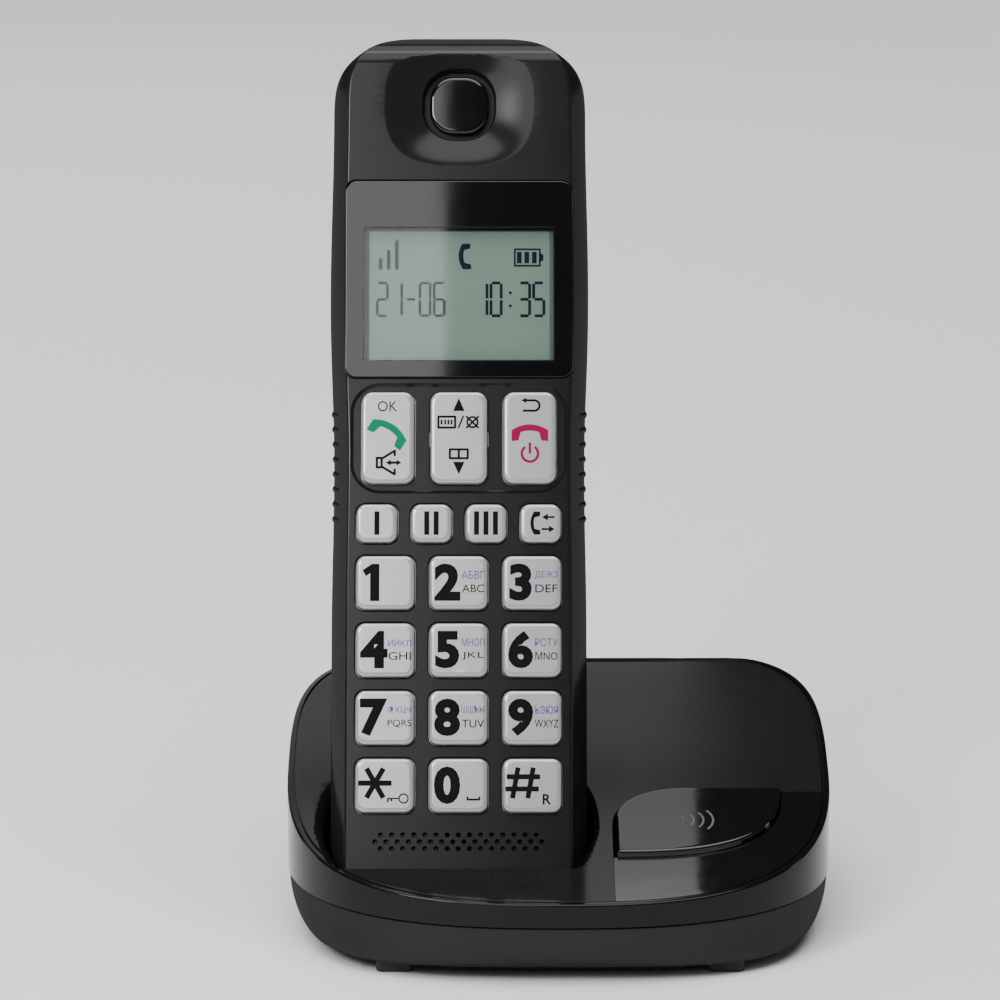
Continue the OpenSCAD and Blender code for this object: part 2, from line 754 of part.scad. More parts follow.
module panel_outline(grow = 0) {
    difference() {
        intersection() {
            inset(panel_edge - grow) polygon(base_plan());
            translate([panel_x - grow, -base_d]) square([base_w, base_d + panel_back + 2 * grow]);
        }
        // The panel stops short of the button's rounded shoulder.
        translate([panel_x - 1, button_back - button_d * shoulder_d - grow])
            square([button_w * shoulder_w + 1, button_d]);
    }
}

module base_skin(outer, inner) {
    difference() {
        base_body(outer);
        base_body(inner);
    }
}

module above_parting(h) {
    block([-far, -far, parting_h + h], [far, far, far]);
}

module button_hole(low) {
    translate([0, 0, low]) linear_extrude(far) button_outline(button_gap);
}

module base_upper_shell() {
    color("#202020") difference() {
        union() {
            intersection() {
                base_skin(0, base_wall + 0.4);
                above_parting(0);
            }
            intersection() {
                pocket_space(cradle_gap + pocket_wall);
                base_body(0.5);
                tapered(base_wall + 0.1);
                block([-far, -far, floor_z + 0.3], [far, far, far]);
            }
            intersection() {
                for (p = base_screw_at) translate([p[0], p[1], floor_z + 4.2]) cylinder(r = 3, h = rear_h);
                base_body(0.5);
            }
        }
        pocket_space(cradle_gap);
        // Seat of the glossy panel, and the opening under the button.
        intersection() {
            linear_extrude(far) panel_outline(0.15);
            difference() {
                base_body(-2);
                base_body(panel_t + touch);
            }
        }
        button_hole(parting_h);
        // Shadow line just inside the rim.
        intersection() {
            linear_extrude(far) difference() {
                inset(1.1) polygon(base_plan());
                inset(1.6) polygon(base_plan());
            }
            difference() {
                base_body(-2);
                base_body(0.5);
            }
            block([-far, -far, parting_h + 2], [far, far, far]);
        }
        for (p = base_screw_at) translate([p[0], p[1], 0]) cylinder(r = 1.2, h = floor_z + 10);
        in_handset() for (sx = [-1, 1])
            block([sx * contact_x - 1.2, contact_y - 2.6, -8], [sx * contact_x + 1.2, contact_y + 2.6, 2]);
        translate([line_jack_x - line_port[0] / 2 - 0.4, 0, port_z - line_port[1] / 2 - 0.4])
            cube([line_port[0] + 0.8, base_d, line_port[1] + 0.8]);
        translate([power_jack_x, 0, port_z]) rotate([-90, 0, 0]) cylinder(r = power_port_r + 0.6, h = base_d);
    }
}

port_z = jack_z + 6.4;

// The lower shell draws in towards the bottom all the way round.
module tapered(d) {
    hull() {
        translate([0, 0, foot_h + d]) linear_extrude(0.1) inset(d) polygon(base_plan(1));
        translate([0, 0, foot_h + 2.8 + d]) linear_extrude(0.1) inset(d) polygon(base_plan(0.34));
        translate([0, 0, parting_h - 1]) linear_extrude(far / 4) inset(0.25 + d) polygon(base_plan());
    }
}

module base_lower_shell() {
    keyhole_slot = 9;
    color("#262626") difference() {
        union() {
            difference() {
                intersection() {
                    tapered(0);
                    base_body(0.1);
                    block([-far, -far, -far], [far, far, parting_h]);
                }
                intersection() {
                    tapered(base_wall);
                    base_body(base_wall);
                }
            }
            for (p = base_screw_at) translate([p[0], p[1], floor_z - 0.3]) cylinder(r = 3, h = 4.3);
            for (p = board_posts) translate([p[0], p[1], floor_z - 0.3])
                cylinder(r = 2, h = base_pcb_z - floor_z + 0.3 - touch);
        }
        for (p = base_screw_at) translate([p[0], p[1], -1]) {
            cylinder(r = 1.5, h = far);
            cylinder(r = 2.9, h = foot_h + 1 + 2.6);
        }
        for (p = foot_at)
            block([p[0] - foot_l / 2 - 0.1, p[1] - foot_w / 2 - 0.1, 0],
                  [p[0] + foot_l / 2 + 0.1, p[1] + foot_w / 2 + 0.1, foot_h + 0.8]);
        for (sx = [-1, 1]) translate([sx * wall_mount_pitch / 2, wall_mount_y, 0]) {
            cylinder(r = wall_mount_r, h = floor_z + 1);
            translate([-2, 0, 0]) cube([4, keyhole_slot, floor_z + 1]);
        }
    }
}

wall_mount_y = 18;
board_posts = [[board_x + 4, 8], [base_w / 2 - 12, -6], [board_x + 3, 32]];

module glossy_panel() {
    color("black") difference() {
        intersection() {
            linear_extrude(far) panel_outline();
            base_skin(0, panel_t);
            block([-far, -far, parting_h + 2], [far, far, far]);
        }
        button_hole(parting_h);
    }
}

module locator_button() {
    low = base_pcb_z + base_pcb_t + switch_h + button_travel + 0.35;
    under = base_wall + 0.6;
    color("black") {
        intersection() {
            linear_extrude(far) button_outline();
            difference() {
                translate([0, 0, button_proud]) base_body(0);
                base_body(under);
            }
            above_parting(2);
        }
        // The flange that keeps the button in.
        intersection() {
            linear_extrude(far) button_outline(0.7);
            base_skin(under - 0.05, under + 0.8);
            above_parting(1);
        }
        intersection() {
            translate([switch_x, switch_y, low]) cylinder(r = 2, h = 20);
            base_body(under - 0.3);
        }
    }
}

module locator_switch() {
    color("silver") translate([switch_x, switch_y, base_pcb_z + base_pcb_t + touch]) union() {
        translate([-3, -3, 0]) cube([6, 6, 3.5]);
        cylinder(r = 1.7, h = switch_h);
    }
}

module base_pcb() {
    color("darkgreen") translate([0, 0, base_pcb_z]) linear_extrude(base_pcb_t) difference() {
        intersection() {
            inset(6.5) polygon(base_plan());
            union() {
                translate([board_x, -base_d / 2 + 18]) square([base_w, base_d]);
                translate([-base_w / 2 + 16, 12]) square([base_w, base_d]);
            }
        }
        for (p = base_screw_at) translate(p) circle(r = 3.6);
    }
}

module base_shield() {
    z = base_pcb_z + base_pcb_t + touch;
    color("silver") difference() {
        block([board_x + 3, 2, z], [board_x + 25, 20, z + 2.6]);
        block([board_x + 3.3, 2.3, z - 1], [board_x + 24.7, 19.7, z + 2.3]);
    }
}

module charge_contact(side) {
    dome = shifted(quarter(2.2, 1.05, 2, 8), [0, -1.2]);
    color("gold") in_handset() translate([side * contact_x, contact_y, 0]) {
        along_x(-0.8, 0.8) polygon(concat([[2.2, -3.4]], dome, mirrored_x(dome), [[-2.2, -3.4]]));
        block([-1.7, -3.4, -3.6], [1.7, 3.4, -3.1]);
    }
}

module line_jack() {
    color("#1c1c1c") difference() {
        block([line_jack_x - line_jack_w / 2, jack_back - line_jack_len, jack_z],
              [line_jack_x + line_jack_w / 2, jack_back, jack_z + line_jack_h]);
        block([line_jack_x - line_port[0] / 2, jack_back - 12, port_z - line_port[1] / 2],
              [line_jack_x + line_port[0] / 2, jack_back + 1, port_z + line_port[1] / 2]);
    }
}

module power_jack() {
    color("#1c1c1c") difference() {
        block([power_jack_x - power_jack_w / 2, jack_back - 13, jack_z],
              [power_jack_x + power_jack_w / 2, jack_back, jack_z + power_jack_h]);
        translate([power_jack_x, jack_back - 10, port_z]) rotate([-90, 0, 0]) difference() {
            cylinder(r = power_port_r, h = 11);
            translate([0, 0, -1]) cylinder(r = 0.8, h = 10);
        }
    }
}

module base_feet() {
    color("#181818") for (p = foot_at) translate(p)
        block([-foot_l / 2, -foot_w / 2, 0], [foot_l / 2, foot_w / 2, foot_h + 0.75]);
}

module base_screws() {
    color("silver") for (p = base_screw_at) translate([p[0], p[1], foot_h + 2.55]) union() {
        mirror([0, 0, 1]) difference() {
            cylinder(r = 2.5, h = 1.6);
            for (a = [0, 90]) rotate([0, 0, a]) translate([-1.6, -0.3, 0.8]) cube([3.2, 0.6, 1]);
        }
        cylinder(r = 1.15, h = 8);
    }
}

in_handset() handset_front_shell();
in_handset() handset_rear_shell();
in_handset() display_lens();
in_handset() lcd_glass();
in_handset() lcd_backlight();
in_handset() lcd_frame();
in_handset() earpiece_cap();
in_handset() receiver_gasket();
in_handset() earpiece_speaker();
in_handset() keypad_membrane();
in_handset() handset_pcb();
in_handset() handset_shield();
in_handset() mic_boot();
in_handset() microphone();
in_handset() loudspeaker();
in_handset() battery_cover();
in_handset() battery(0);  // battery_1
in_handset() battery(1);  // battery_2
in_handset() battery_springs();
in_handset() battery_plates();
in_handset() handset_charge_contacts();
in_handset() handset_screws();
for (k = KEYS) in_handset() key_named(k[0]);
base_upper_shell();
base_lower_shell();
glossy_panel();
locator_button();
locator_switch();
base_pcb();
base_shield();
charge_contact(-1);  // charge_contact_left
charge_contact(1);  // charge_contact_right
line_jack();
power_jack();
base_feet();
base_screws();
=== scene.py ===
"""Looks of a cordless telephone: a handset that stands in a charging base, built around its CAD frame."""

import json
import logging
import math
from collections.abc import Callable, Iterable
from dataclasses import dataclass, field
from enum import Enum

import bmesh
import bpy
from mathutils import Matrix, Vector

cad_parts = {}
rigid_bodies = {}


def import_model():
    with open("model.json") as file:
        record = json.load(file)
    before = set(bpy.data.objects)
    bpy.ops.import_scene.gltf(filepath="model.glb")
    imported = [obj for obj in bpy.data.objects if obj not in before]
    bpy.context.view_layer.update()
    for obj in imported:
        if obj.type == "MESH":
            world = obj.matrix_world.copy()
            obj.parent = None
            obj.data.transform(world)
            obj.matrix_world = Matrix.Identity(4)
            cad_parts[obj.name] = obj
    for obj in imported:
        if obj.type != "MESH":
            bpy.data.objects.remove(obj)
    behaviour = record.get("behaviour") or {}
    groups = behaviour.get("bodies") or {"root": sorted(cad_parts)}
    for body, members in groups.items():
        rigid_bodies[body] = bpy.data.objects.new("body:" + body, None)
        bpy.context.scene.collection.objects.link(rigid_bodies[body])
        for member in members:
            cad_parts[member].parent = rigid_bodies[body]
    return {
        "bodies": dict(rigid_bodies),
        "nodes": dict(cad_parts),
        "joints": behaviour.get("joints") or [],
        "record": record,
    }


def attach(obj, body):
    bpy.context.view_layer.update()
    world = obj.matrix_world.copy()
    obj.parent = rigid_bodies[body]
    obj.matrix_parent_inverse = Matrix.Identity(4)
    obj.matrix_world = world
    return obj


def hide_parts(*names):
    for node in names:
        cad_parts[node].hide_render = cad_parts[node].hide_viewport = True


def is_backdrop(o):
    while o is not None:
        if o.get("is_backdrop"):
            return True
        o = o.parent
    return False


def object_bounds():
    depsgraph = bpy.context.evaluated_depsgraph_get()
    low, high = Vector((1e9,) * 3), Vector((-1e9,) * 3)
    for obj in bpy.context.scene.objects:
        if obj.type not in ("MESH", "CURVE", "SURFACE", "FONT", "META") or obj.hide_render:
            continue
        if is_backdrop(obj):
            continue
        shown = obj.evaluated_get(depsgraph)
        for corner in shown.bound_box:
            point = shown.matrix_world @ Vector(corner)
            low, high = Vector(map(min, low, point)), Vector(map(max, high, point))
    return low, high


LOG = logging.getLogger("phone")
MM = 0.001
PANE_LEAST = 0.027  # what a clear pane mirrors when it is seen straight on
PANE_EDGE_ON = 0.9  # what it mirrors besides when it is seen edge on
SUN_STRENGTH = 3.2
SUN_WIDTH = math.radians(60)
SUN_TILT = math.radians(12)
Point2 = tuple[float, float]
Loop = list[Point2]
Colour = tuple[float, float, float]


# ---------------------------------------------------------------- shaders


class Blend(Enum):
    """How two colours are mixed."""

    MIX = "MIX"
    MULTIPLY = "MULTIPLY"
    ADD = "ADD"


class Wire:
    """One shader output whose arithmetic adds Math nodes."""

    def __init__(self, shop: "Shop", socket: bpy.types.NodeSocket) -> None:
        """Args: shop is the node tree's owner, socket the output that is wrapped."""
        self.shop, self.socket = shop, socket

    def _math(self, operation: str, *values: "Wire | float") -> "Wire":
        """One Math node.

        Args:
            operation: the Math node's operation.
            values: its inputs in order.

        Returns:
            The node's output.
        """
        links = {i: v for i, v in enumerate(values)}
        return self.shop.node("ShaderNodeMath", {"operation": operation}, links)

    def __add__(self, other: "Wire | float") -> "Wire":
        """Sum."""
        return self._math("ADD", self, other)

    def __radd__(self, other: float) -> "Wire":
        """Sum, with the number first."""
        return self._math("ADD", other, self)

    def __sub__(self, other: "Wire | float") -> "Wire":
        """Difference."""
        return self._math("SUBTRACT", self, other)

    def __rsub__(self, other: float) -> "Wire":
        """Difference, with the number first."""
        return self._math("SUBTRACT", other, self)

    def __mul__(self, other: "Wire | float") -> "Wire":
        """Product."""
        return self._math("MULTIPLY", self, other)

    def __rmul__(self, other: float) -> "Wire":
        """Product, with the number first."""
        return self._math("MULTIPLY", other, self)

    def __truediv__(self, other: "Wire | float") -> "Wire":
        """Quotient."""
        return self._math("DIVIDE", self, other)

    def __pow__(self, other: float) -> "Wire":
        """Power."""
        return self._math("POWER", self, other)

    def above(self, limit: float) -> "Wire":
        """1 where this is greater than limit, and 0 elsewhere."""
        return self._math("GREATER_THAN", self, limit)

    def clamped(self, low: float, high: float) -> "Wire":
        """This value kept between low and high."""
        return self._math("MAXIMUM", self._math("MINIMUM", self, high), low)


class Shop:
    """The node tree of one material."""

    def __init__(self, name: str) -> None:
        """Args: name is the material's name."""
        self.material = bpy.data.materials.new(name)
        self.material.use_nodes = True
        self.tree = self.material.node_tree
        self.tree.nodes.clear()

    def node(self, kind: str, settings: dict | None = None, inputs: dict | None = None,
             output: int | str = 0) -> Wire:
        """Adds any node.

        Args:
            kind: the node's type name.
            settings: properties, set before the inputs; "stops" fills a colour ramp.
            inputs: socket name or index to a Wire or a value.
            output: the output that is returned.

        Returns:
            The chosen output as a Wire.
        """
        made = self.tree.nodes.new(kind)
        for key, value in (settings or {}).items():
            if key == "stops":
                self._stops(made.color_ramp, value)
            else:
                setattr(made, key, value)
        for key, value in (inputs or {}).items():
            if isinstance(value, Wire):
                self.tree.links.new(value.socket, made.inputs[key])
            else:
                made.inputs[key].default_value = value
        return Wire(self, made.outputs[output]) if made.outputs else Wire(self, None)

    @staticmethod
    def _stops(ramp: bpy.types.ColorRamp, stops: list[tuple[float, Colour]]) -> None:
        """Fills a colour ramp.

        Args:
            ramp: the ramp.
            stops: position and colour of each stop.
        """
        while len(ramp.elements) < len(stops):
            ramp.elements.new(1.0)
        for element, (place, colour) in zip(ramp.elements, stops):
            element.position = place
            element.color = (*colour, 1.0)

    def place(self) -> Wire:
        """Coordinates in metres, fixed to the piece."""
        return self.node("ShaderNodeTexCoord", output="Object")

    def noise(self, size_mm: float, detail: float = 2.0, stretch: Colour = (1.0, 1.0, 1.0)) -> Wire:
        """Smooth noise from 0 to 1.

        Args:
            size_mm: size of its features.
            detail: octaves.
            stretch: how much finer it is along each axis.

        Returns:
            The noise's value.
        """
        where = self.node("ShaderNodeVectorMath", {"operation": "MULTIPLY"},
                          {0: self.place(), 1: stretch})
        return self.node("ShaderNodeTexNoise", {"noise_dimensions": "3D"},
                         {"Vector": where, "Scale": 1 / (size_mm * MM), "Detail": detail})

    def mix(self, how: Blend, share: "Wire | float", first: "Wire | Colour",
            second: "Wire | Colour") -> Wire:
        """Mixes two colours.

        Args:
            how: the blend.
            share: how much of the second.
            first: a colour or link.
            second: a colour or link.

        Returns:
            The mixed colour.
        """
        def full(c: "Wire | Colour") -> "Wire | tuple":
            """A colour with alpha, or the link."""
            return c if isinstance(c, Wire) else (*c, 1.0)

        return self.node("ShaderNodeMix", {"data_type": "RGBA", "blend_type": how.value},
                         {0: share, 6: full(first), 7: full(second)}, output=2)

    def bump(self, height: Wire, depth_mm: float, strength: float = 1.0) -> Wire:
        """A Bump node.

        Args:
            height: the height from 0 to 1.
            depth_mm: what a height of 1 stands for.
            strength: the node's strength.

        Returns:
            The bent normal.
        """
        return self.node("ShaderNodeBump", {},
                         {"Height": height, "Distance": depth_mm * MM, "Strength": strength})

    def surface(self, shader: Wire) -> bpy.types.Material:
        """Links the shader to the output and returns the material."""
        out = self.tree.nodes.new("ShaderNodeOutputMaterial")
        self.tree.links.new(shader.socket, out.inputs["Surface"])
        return self.material

    def principled(self, **sockets: "Wire | float | tuple") -> Wire:
        """A Principled shader; underscores in the keywords stand for spaces."""
        named = {key.replace("_", " "): value for key, value in sockets.items()}
        return self.node("ShaderNodeBsdfPrincipled", {}, named)


@dataclass(frozen=True)
class Finish:
    """What every finish has.

    Attributes:
        name: the material's name.
        colour: its base colour.
    """

    name: str
    colour: Colour

    def material(self) -> bpy.types.Material:
        """The material, made once."""
        found = bpy.data.materials.get(self.name)
        return found or self.build(Shop(self.name))

    def build(self, shop: Shop) -> bpy.types.Material:
        """Builds the nodes; each finish has its own."""
        raise NotImplementedError


@dataclass(frozen=True)
class MouldedPlastic(Finish):
    """Moulded plastic with a fine spark-eroded grain.

    Attributes:
        roughness: mean roughness.
        grain_mm: size of the grain.
        grain_depth_mm: depth of the grain.
        mottle: how much the roughness varies over larger areas.
        shine: strength of the reflection, 0.5 for common plastic.
    """

    roughness: float = 0.15
    grain_mm: float = 0.22
    grain_depth_mm: float = 0.0025
    mottle: float = 0.02
    shine: float = 0.26

    def build(self, shop: Shop) -> bpy.types.Material:
        """Grain bends the normal, and larger patches vary the roughness and the colour a little."""
        patches = shop.noise(9.0, 3.0)
        grain = shop.noise(self.grain_mm, 2.0)
        lighter = tuple(min(1.0, c * 1.35 + 0.002) for c in self.colour)
        tone = shop.mix(Blend.MIX, grain * 0.5 + patches * 0.4, self.colour, lighter)
        bent = shop.bump(grain, self.grain_depth_mm)
        gloss = (self.roughness - self.mottle) + patches * (2 * self.mottle)
        matt = shop.principled(Base_Color=tone, Roughness=gloss, Normal=bent, Specular_IOR_Level=0.0)
        sheen = shop.principled(Base_Color=(0.9, 0.9, 0.9, 1.0), Metallic=1.0, Roughness=gloss, Normal=bent)
        facing = shop.node("ShaderNodeLayerWeight", {}, {"Blend": 0.5}, output="Facing")
        share = 0.08 * self.shine + (facing ** 4.0) * (0.16 * self.shine)
        return shop.surface(shop.node("ShaderNodeMixShader", {}, {0: share, 1: matt, 2: sheen}))


@dataclass(frozen=True)
class PolishedPlastic(Finish):
    """Piano-black plastic with faint moulding waves and wipe marks.

    Attributes:
        roughness: mean roughness.
        shine: strength of the reflection, 0.5 for common plastic.
    """

    roughness: float = 0.03
    shine: float = 0.5

    def build(self, shop: Shop) -> bpy.types.Material:
        """Very shallow waves bend the normal, and streaks vary the gloss."""
        waves = shop.noise(26.0, 1.0)
        wipes = shop.noise(3.0, 4.0, (1.0, 1.0, 0.25))
        shader = shop.principled(
            Base_Color=shop.mix(Blend.MIX, wipes, self.colour, tuple(c * 1.3 for c in self.colour)),
            Roughness=self.roughness + (wipes ** 3.0) * 0.05,
            Normal=shop.bump(waves, 0.02, 0.35), Specular_IOR_Level=self.shine)
        return shop.surface(shader)


@dataclass(frozen=True)
class PaintedKey(Finish):
    """Silver-grey paint under a satin lacquer, with fine flakes.

    Attributes:
        roughness: mean roughness.
    """

    roughness: float = 0.14

    def build(self, shop: Shop) -> bpy.types.Material:
        """Flakes sparkle through the base colour, and the lacquer has an orange-peel wave."""
        flakes = shop.noise(0.09, 1.0)
        peel = shop.noise(0.8, 2.0)
        tone = shop.mix(Blend.MIX, (flakes - 0.35).clamped(0.0, 1.0) * 0.5, self.colour,
                        tuple(min(1.0, c * 1.16) for c in self.colour))
        shader = shop.principled(Base_Color=tone, Metallic=0.4,
                                 Roughness=self.roughness + peel * 0.06,
                                 Normal=shop.bump(peel, 0.004))
        return shop.surface(shader)


@dataclass(frozen=True)
class Ink(Finish):
    """Printed or laser-marked ink."""

    def build(self, shop: Shop) -> bpy.types.Material:
        """Screen-print grain in the tone and in the roughness."""
        grain = shop.noise(0.12, 2.0)
        tone = shop.mix(Blend.MIX, grain * 0.35, self.colour,
                        tuple(min(1.0, c * 1.2 + 0.004) for c in self.colour))
        return shop.surface(shop.principled(Base_Color=tone, Roughness=0.6 + grain * 0.1,
                                            Specular_IOR_Level=0.06))


@dataclass(frozen=True)
class DisplayField(Finish):
    """The reflective field of a liquid crystal display, with its faint dot rows."""

    def build(self, shop: Shop) -> bpy.types.Material:
        """Faint cell rows and a soft mottle of the polariser."""
        cloud = shop.noise(14.0, 2.0)
        fine = shop.noise(0.25, 1.0)
        tone = shop.mix(Blend.MIX, cloud * 0.3 + fine * 0.12, self.colour,
                        tuple(c * 0.86 for c in self.colour))
        return shop.surface(shop.principled(Base_Color=tone, Roughness=0.5 + fine * 0.1))


@dataclass(frozen=True)
class ClearPane(Finish):
    """A clear acrylic pane: it lets the display through and reflects by its angle."""

    def build(self, shop: Shop) -> bpy.types.Material:
        """Transparent and glossy: it mirrors more where it turns away from the eye."""
        through = shop.node("ShaderNodeBsdfTransparent", {}, {"Color": (*self.colour, 1.0)})
        shine = shop.node("ShaderNodeBsdfGlossy", {}, {"Roughness": 0.03})
        facing = shop.node("ShaderNodeLayerWeight", {}, {"Blend": 0.5}, output="Facing")
        share = PANE_LEAST + (facing ** 5.0) * PANE_EDGE_ON
        return shop.surface(shop.node("ShaderNodeMixShader", {}, {0: share, 1: through, 2: shine}))


@dataclass(frozen=True)
class Rubber(Finish):
    """Matt rubber or silicone with a dusty bloom."""

    def build(self, shop: Shop) -> bpy.types.Material:
        """Dust patches lighten the colour."""
        dust = shop.noise(2.5, 4.0)
        grain = shop.noise(0.3, 2.0)
        tone = shop.mix(Blend.MIX, dust * 0.6, self.colour, tuple(c * 1.6 + 0.01 for c in self.colour))
        return shop.surface(shop.principled(Base_Color=tone, Roughness=0.72 + dust * 0.15,
                                            Normal=shop.bump(grain, 0.01)))


@dataclass(frozen=True)
class Metal(Finish):
    """Plated or rolled metal.

    Attributes:
        roughness: mean roughness.
        line: how much finer its lines are along each axis.
    """

    roughness: float = 0.28
    line: Colour = (1.0, 12.0, 12.0)

    def build(self, shop: Shop) -> bpy.types.Material:
        """Rolling lines vary the roughness and bend the normal; tarnish dulls the colour."""
        lines = shop.noise(1.2, 3.0, self.line)
        tarnish = shop.noise(3.0, 3.0)
        tone = shop.mix(Blend.MIX, tarnish * 0.5, self.colour, tuple(c * 0.72 for c in self.colour))
        return shop.surface(shop.principled(Base_Color=tone, Metallic=1.0,
                                            Roughness=self.roughness + lines * 0.16,
                                            Normal=shop.bump(lines, 0.003)))


@dataclass(frozen=True)
class CircuitBoard(Finish):
    """Green solder mask with the copper tracks showing through."""

    def build(self, shop: Shop) -> bpy.types.Material:
        """Cells give a pattern of tracks that are lighter and slightly raised."""
        cells = shop.node("ShaderNodeTexVoronoi", {"distance": "MANHATTAN", "feature": "F1"},
                          {"Vector": shop.place(), "Scale": 420.0, "Randomness": 0.55})
        tracks = (cells * 2.2).clamped(0.0, 1.0).above(0.62)
        tone = shop.mix(Blend.MIX, tracks, self.colour, tuple(c * 1.9 for c in self.colour))
        return shop.surface(shop.principled(Base_Color=tone, Roughness=0.3 + tracks * 0.12,
                                            Normal=shop.bump(tracks, 0.03)))


@dataclass(frozen=True)
class CellWrap(Finish):
    """Printed film on a battery cell: a coloured body with a pale band.

    Attributes:
        band: colour of the band.
    """

    band: Colour = (0.6, 0.6, 0.6)

    def build(self, shop: Shop) -> bpy.types.Material:
        """A band along the cell's length, with shrink wrinkles in the film."""
        height = shop.node("ShaderNodeSeparateXYZ", {}, {0: shop.place()}, output="Z")
        band = (height - 0.082).above(0.0) * (1 - (height - 0.088).above(0.0))
        wrinkles = shop.noise(2.2, 3.0, (1.0, 1.0, 0.3))
        tone = shop.mix(Blend.MIX, band, self.colour, self.band)
        return shop.surface(shop.principled(Base_Color=tone, Roughness=0.24 + wrinkles * 0.12,
                                            Normal=shop.bump(wrinkles, 0.03)))


@dataclass(frozen=True)
class Tabletop(Finish):
    """The pale floor."""

    def build(self, shop: Shop) -> bpy.types.Material:
        """Plain, with the faintest tooth."""
        return shop.surface(shop.principled(Base_Color=(*self.colour, 1.0),
                                            Roughness=0.55 + shop.noise(2.0) * 0.08))


SATIN = MouldedPlastic("satin_black_plastic", (0.0075, 0.0075, 0.0078))
UPPER = MouldedPlastic("satin_black_base_top", (0.007, 0.007, 0.0072), roughness=0.13, shine=0.46)
LOWER = MouldedPlastic("satin_black_lower_shell", (0.006, 0.006, 0.0062), roughness=0.26, shine=0.3)
INNER = MouldedPlastic("inner_black_plastic", (0.008, 0.008, 0.008), roughness=0.5, shine=0.3)
GLOSS = PolishedPlastic("polished_black_plastic", (0.0025, 0.0025, 0.003))
BAND = PolishedPlastic("polished_black_rim", (0.003, 0.003, 0.0035), roughness=0.1, shine=0.2)
KEY = PaintedKey("painted_grey_key", (0.42, 0.42, 0.425))
INK = Ink("black_legend", (0.004, 0.004, 0.005))
VIOLET = Ink("violet_legend", (0.055, 0.04, 0.23))
GREEN = Ink("green_talk_mark", (0.0, 0.17, 0.075))
CRIMSON = Ink("crimson_off_mark", (0.23, 0.004, 0.05))
PALE_MARK = Ink("grey_locator_mark", (0.10, 0.10, 0.10))
SEGMENT = Ink("display_segment", (0.006, 0.010, 0.022))
FIELD = DisplayField("display_field", (0.135, 0.21, 0.17))
# Painted shade: a darker copy of the display field's colour, laid as a strip along the field's right edge.
FIELD_PAINTED_SHADE = DisplayField("display_field_painted_shade", (0.05, 0.085, 0.065))
PANE = ClearPane("clear_pane", (0.96, 0.97, 0.96))
FOOT = Rubber("black_rubber", (0.012, 0.012, 0.012))
SILICONE = Rubber("grey_silicone", (0.20, 0.20, 0.20))
STEEL = Metal("zinc_plated_steel", (0.55, 0.55, 0.54))
NICKEL = Metal("nickel_plated_contact", (0.72, 0.69, 0.62), roughness=0.16)
TIN = Metal("tinned_sheet", (0.62, 0.62, 0.60), roughness=0.3)
BOARD = CircuitBoard("green_circuit_board", (0.012, 0.10, 0.035))
CELL = CellWrap("green_cell_wrap", (0.01, 0.12, 0.04))
WHITE = MouldedPlastic("white_light_guide", (0.7, 0.7, 0.68), roughness=0.5)
FLOOR = Tabletop("pale_floor", (0.86, 0.86, 0.86))


# ---------------------------------------------------------------- shapes


@dataclass
class Shape:
    """Points and faces of one piece, in millimetres in its own frame.

    Attributes:
        points: the points.
        faces: point numbers of each face.
        kinds: which finish each face takes.
    """

    points: list[Vector] = field(default_factory=list)
    faces: list[list[int]] = field(default_factory=list)
    kinds: list[int] = field(default_factory=list)

    def face(self, numbers: Iterable[int], kind: int = 0) -> None:
        """Adds one face."""
        self.faces.append(list(numbers))
        self.kinds.append(kind)

    def join(self, other: "Shape", kind: int | None = None) -> "Shape":
        """Adds another shape's faces, with their own finish or the one given."""
        start = len(self.points)
        self.points.extend(other.points)
        for numbers, own in zip(other.faces, other.kinds):
            self.face([n + start for n in numbers], own if kind is None else kind)
        return self

    def moved(self, how: Callable[[Vector], Vector]) -> "Shape":
        """A copy with every point passed through how."""
        return Shape([Vector(how(p)) for p in self.points], [list(f) for f in self.faces],
                     list(self.kinds))

    def loft(self, rings: list[list[Vector]], caps: tuple[bool, bool] = (True, True),
             kinds: Callable[[int], int] = lambda level: 0) -> "Shape":
        """Joins closed rings of equal length into a skin.

        Args:
            rings: the rings in order.
            caps: whether the first and last are closed with one face.
            kinds: the finish of the faces that follow each ring.

        Returns:
            This shape.
        """
        start, n = len(self.points), len(rings[0])
        for ring in rings:
            self.points.extend(ring)
        for level in range(len(rings) - 1):
            a, b = start + level * n, start + (level + 1) * n
            for i in range(n):
                j = (i + 1) % n
                self.face((a + i, a + j, b + j, b + i), kinds(level))
        if caps[0]:
            self.face(reversed(range(start, start + n)), kinds(0))
        if caps[1]:
            last = start + (len(rings) - 1) * n
            self.face(range(last, last + n), kinds(len(rings) - 1))
        return self


def rounded_loop(w: float, h: float, r: float, n: int = 8) -> Loop:
    """A rounded rectangle about the origin, anticlockwise.

    Args:
        w: its width.
        h: its height.
        r: its corner radius.
        n: steps in each corner.

    Returns:
        Its points.
    """
    r = max(0.01, min(r, w / 2 - 0.01, h / 2 - 0.01))
    corners = ((w / 2 - r, h / 2 - r, 0), (-w / 2 + r, h / 2 - r, 90),
               (-w / 2 + r, -h / 2 + r, 180), (w / 2 - r, -h / 2 + r, 270))
    return [(cx + r * math.cos(math.radians(a0 + 90 * i / n)),
             cy + r * math.sin(math.radians(a0 + 90 * i / n)))
            for cx, cy, a0 in corners for i in range(n + 1)]


def power_quarter(rx: float, ry: float, power: float, n: int) -> Loop:
    """One quarter of a superellipse, from the end of its x axis to the end of its y axis."""
    return [(rx * math.cos(math.pi / 2 * i / n) ** (2 / power) if i < n else 0.0,
             ry * math.sin(math.pi / 2 * i / n) ** (2 / power)) for i in range(n + 1)]


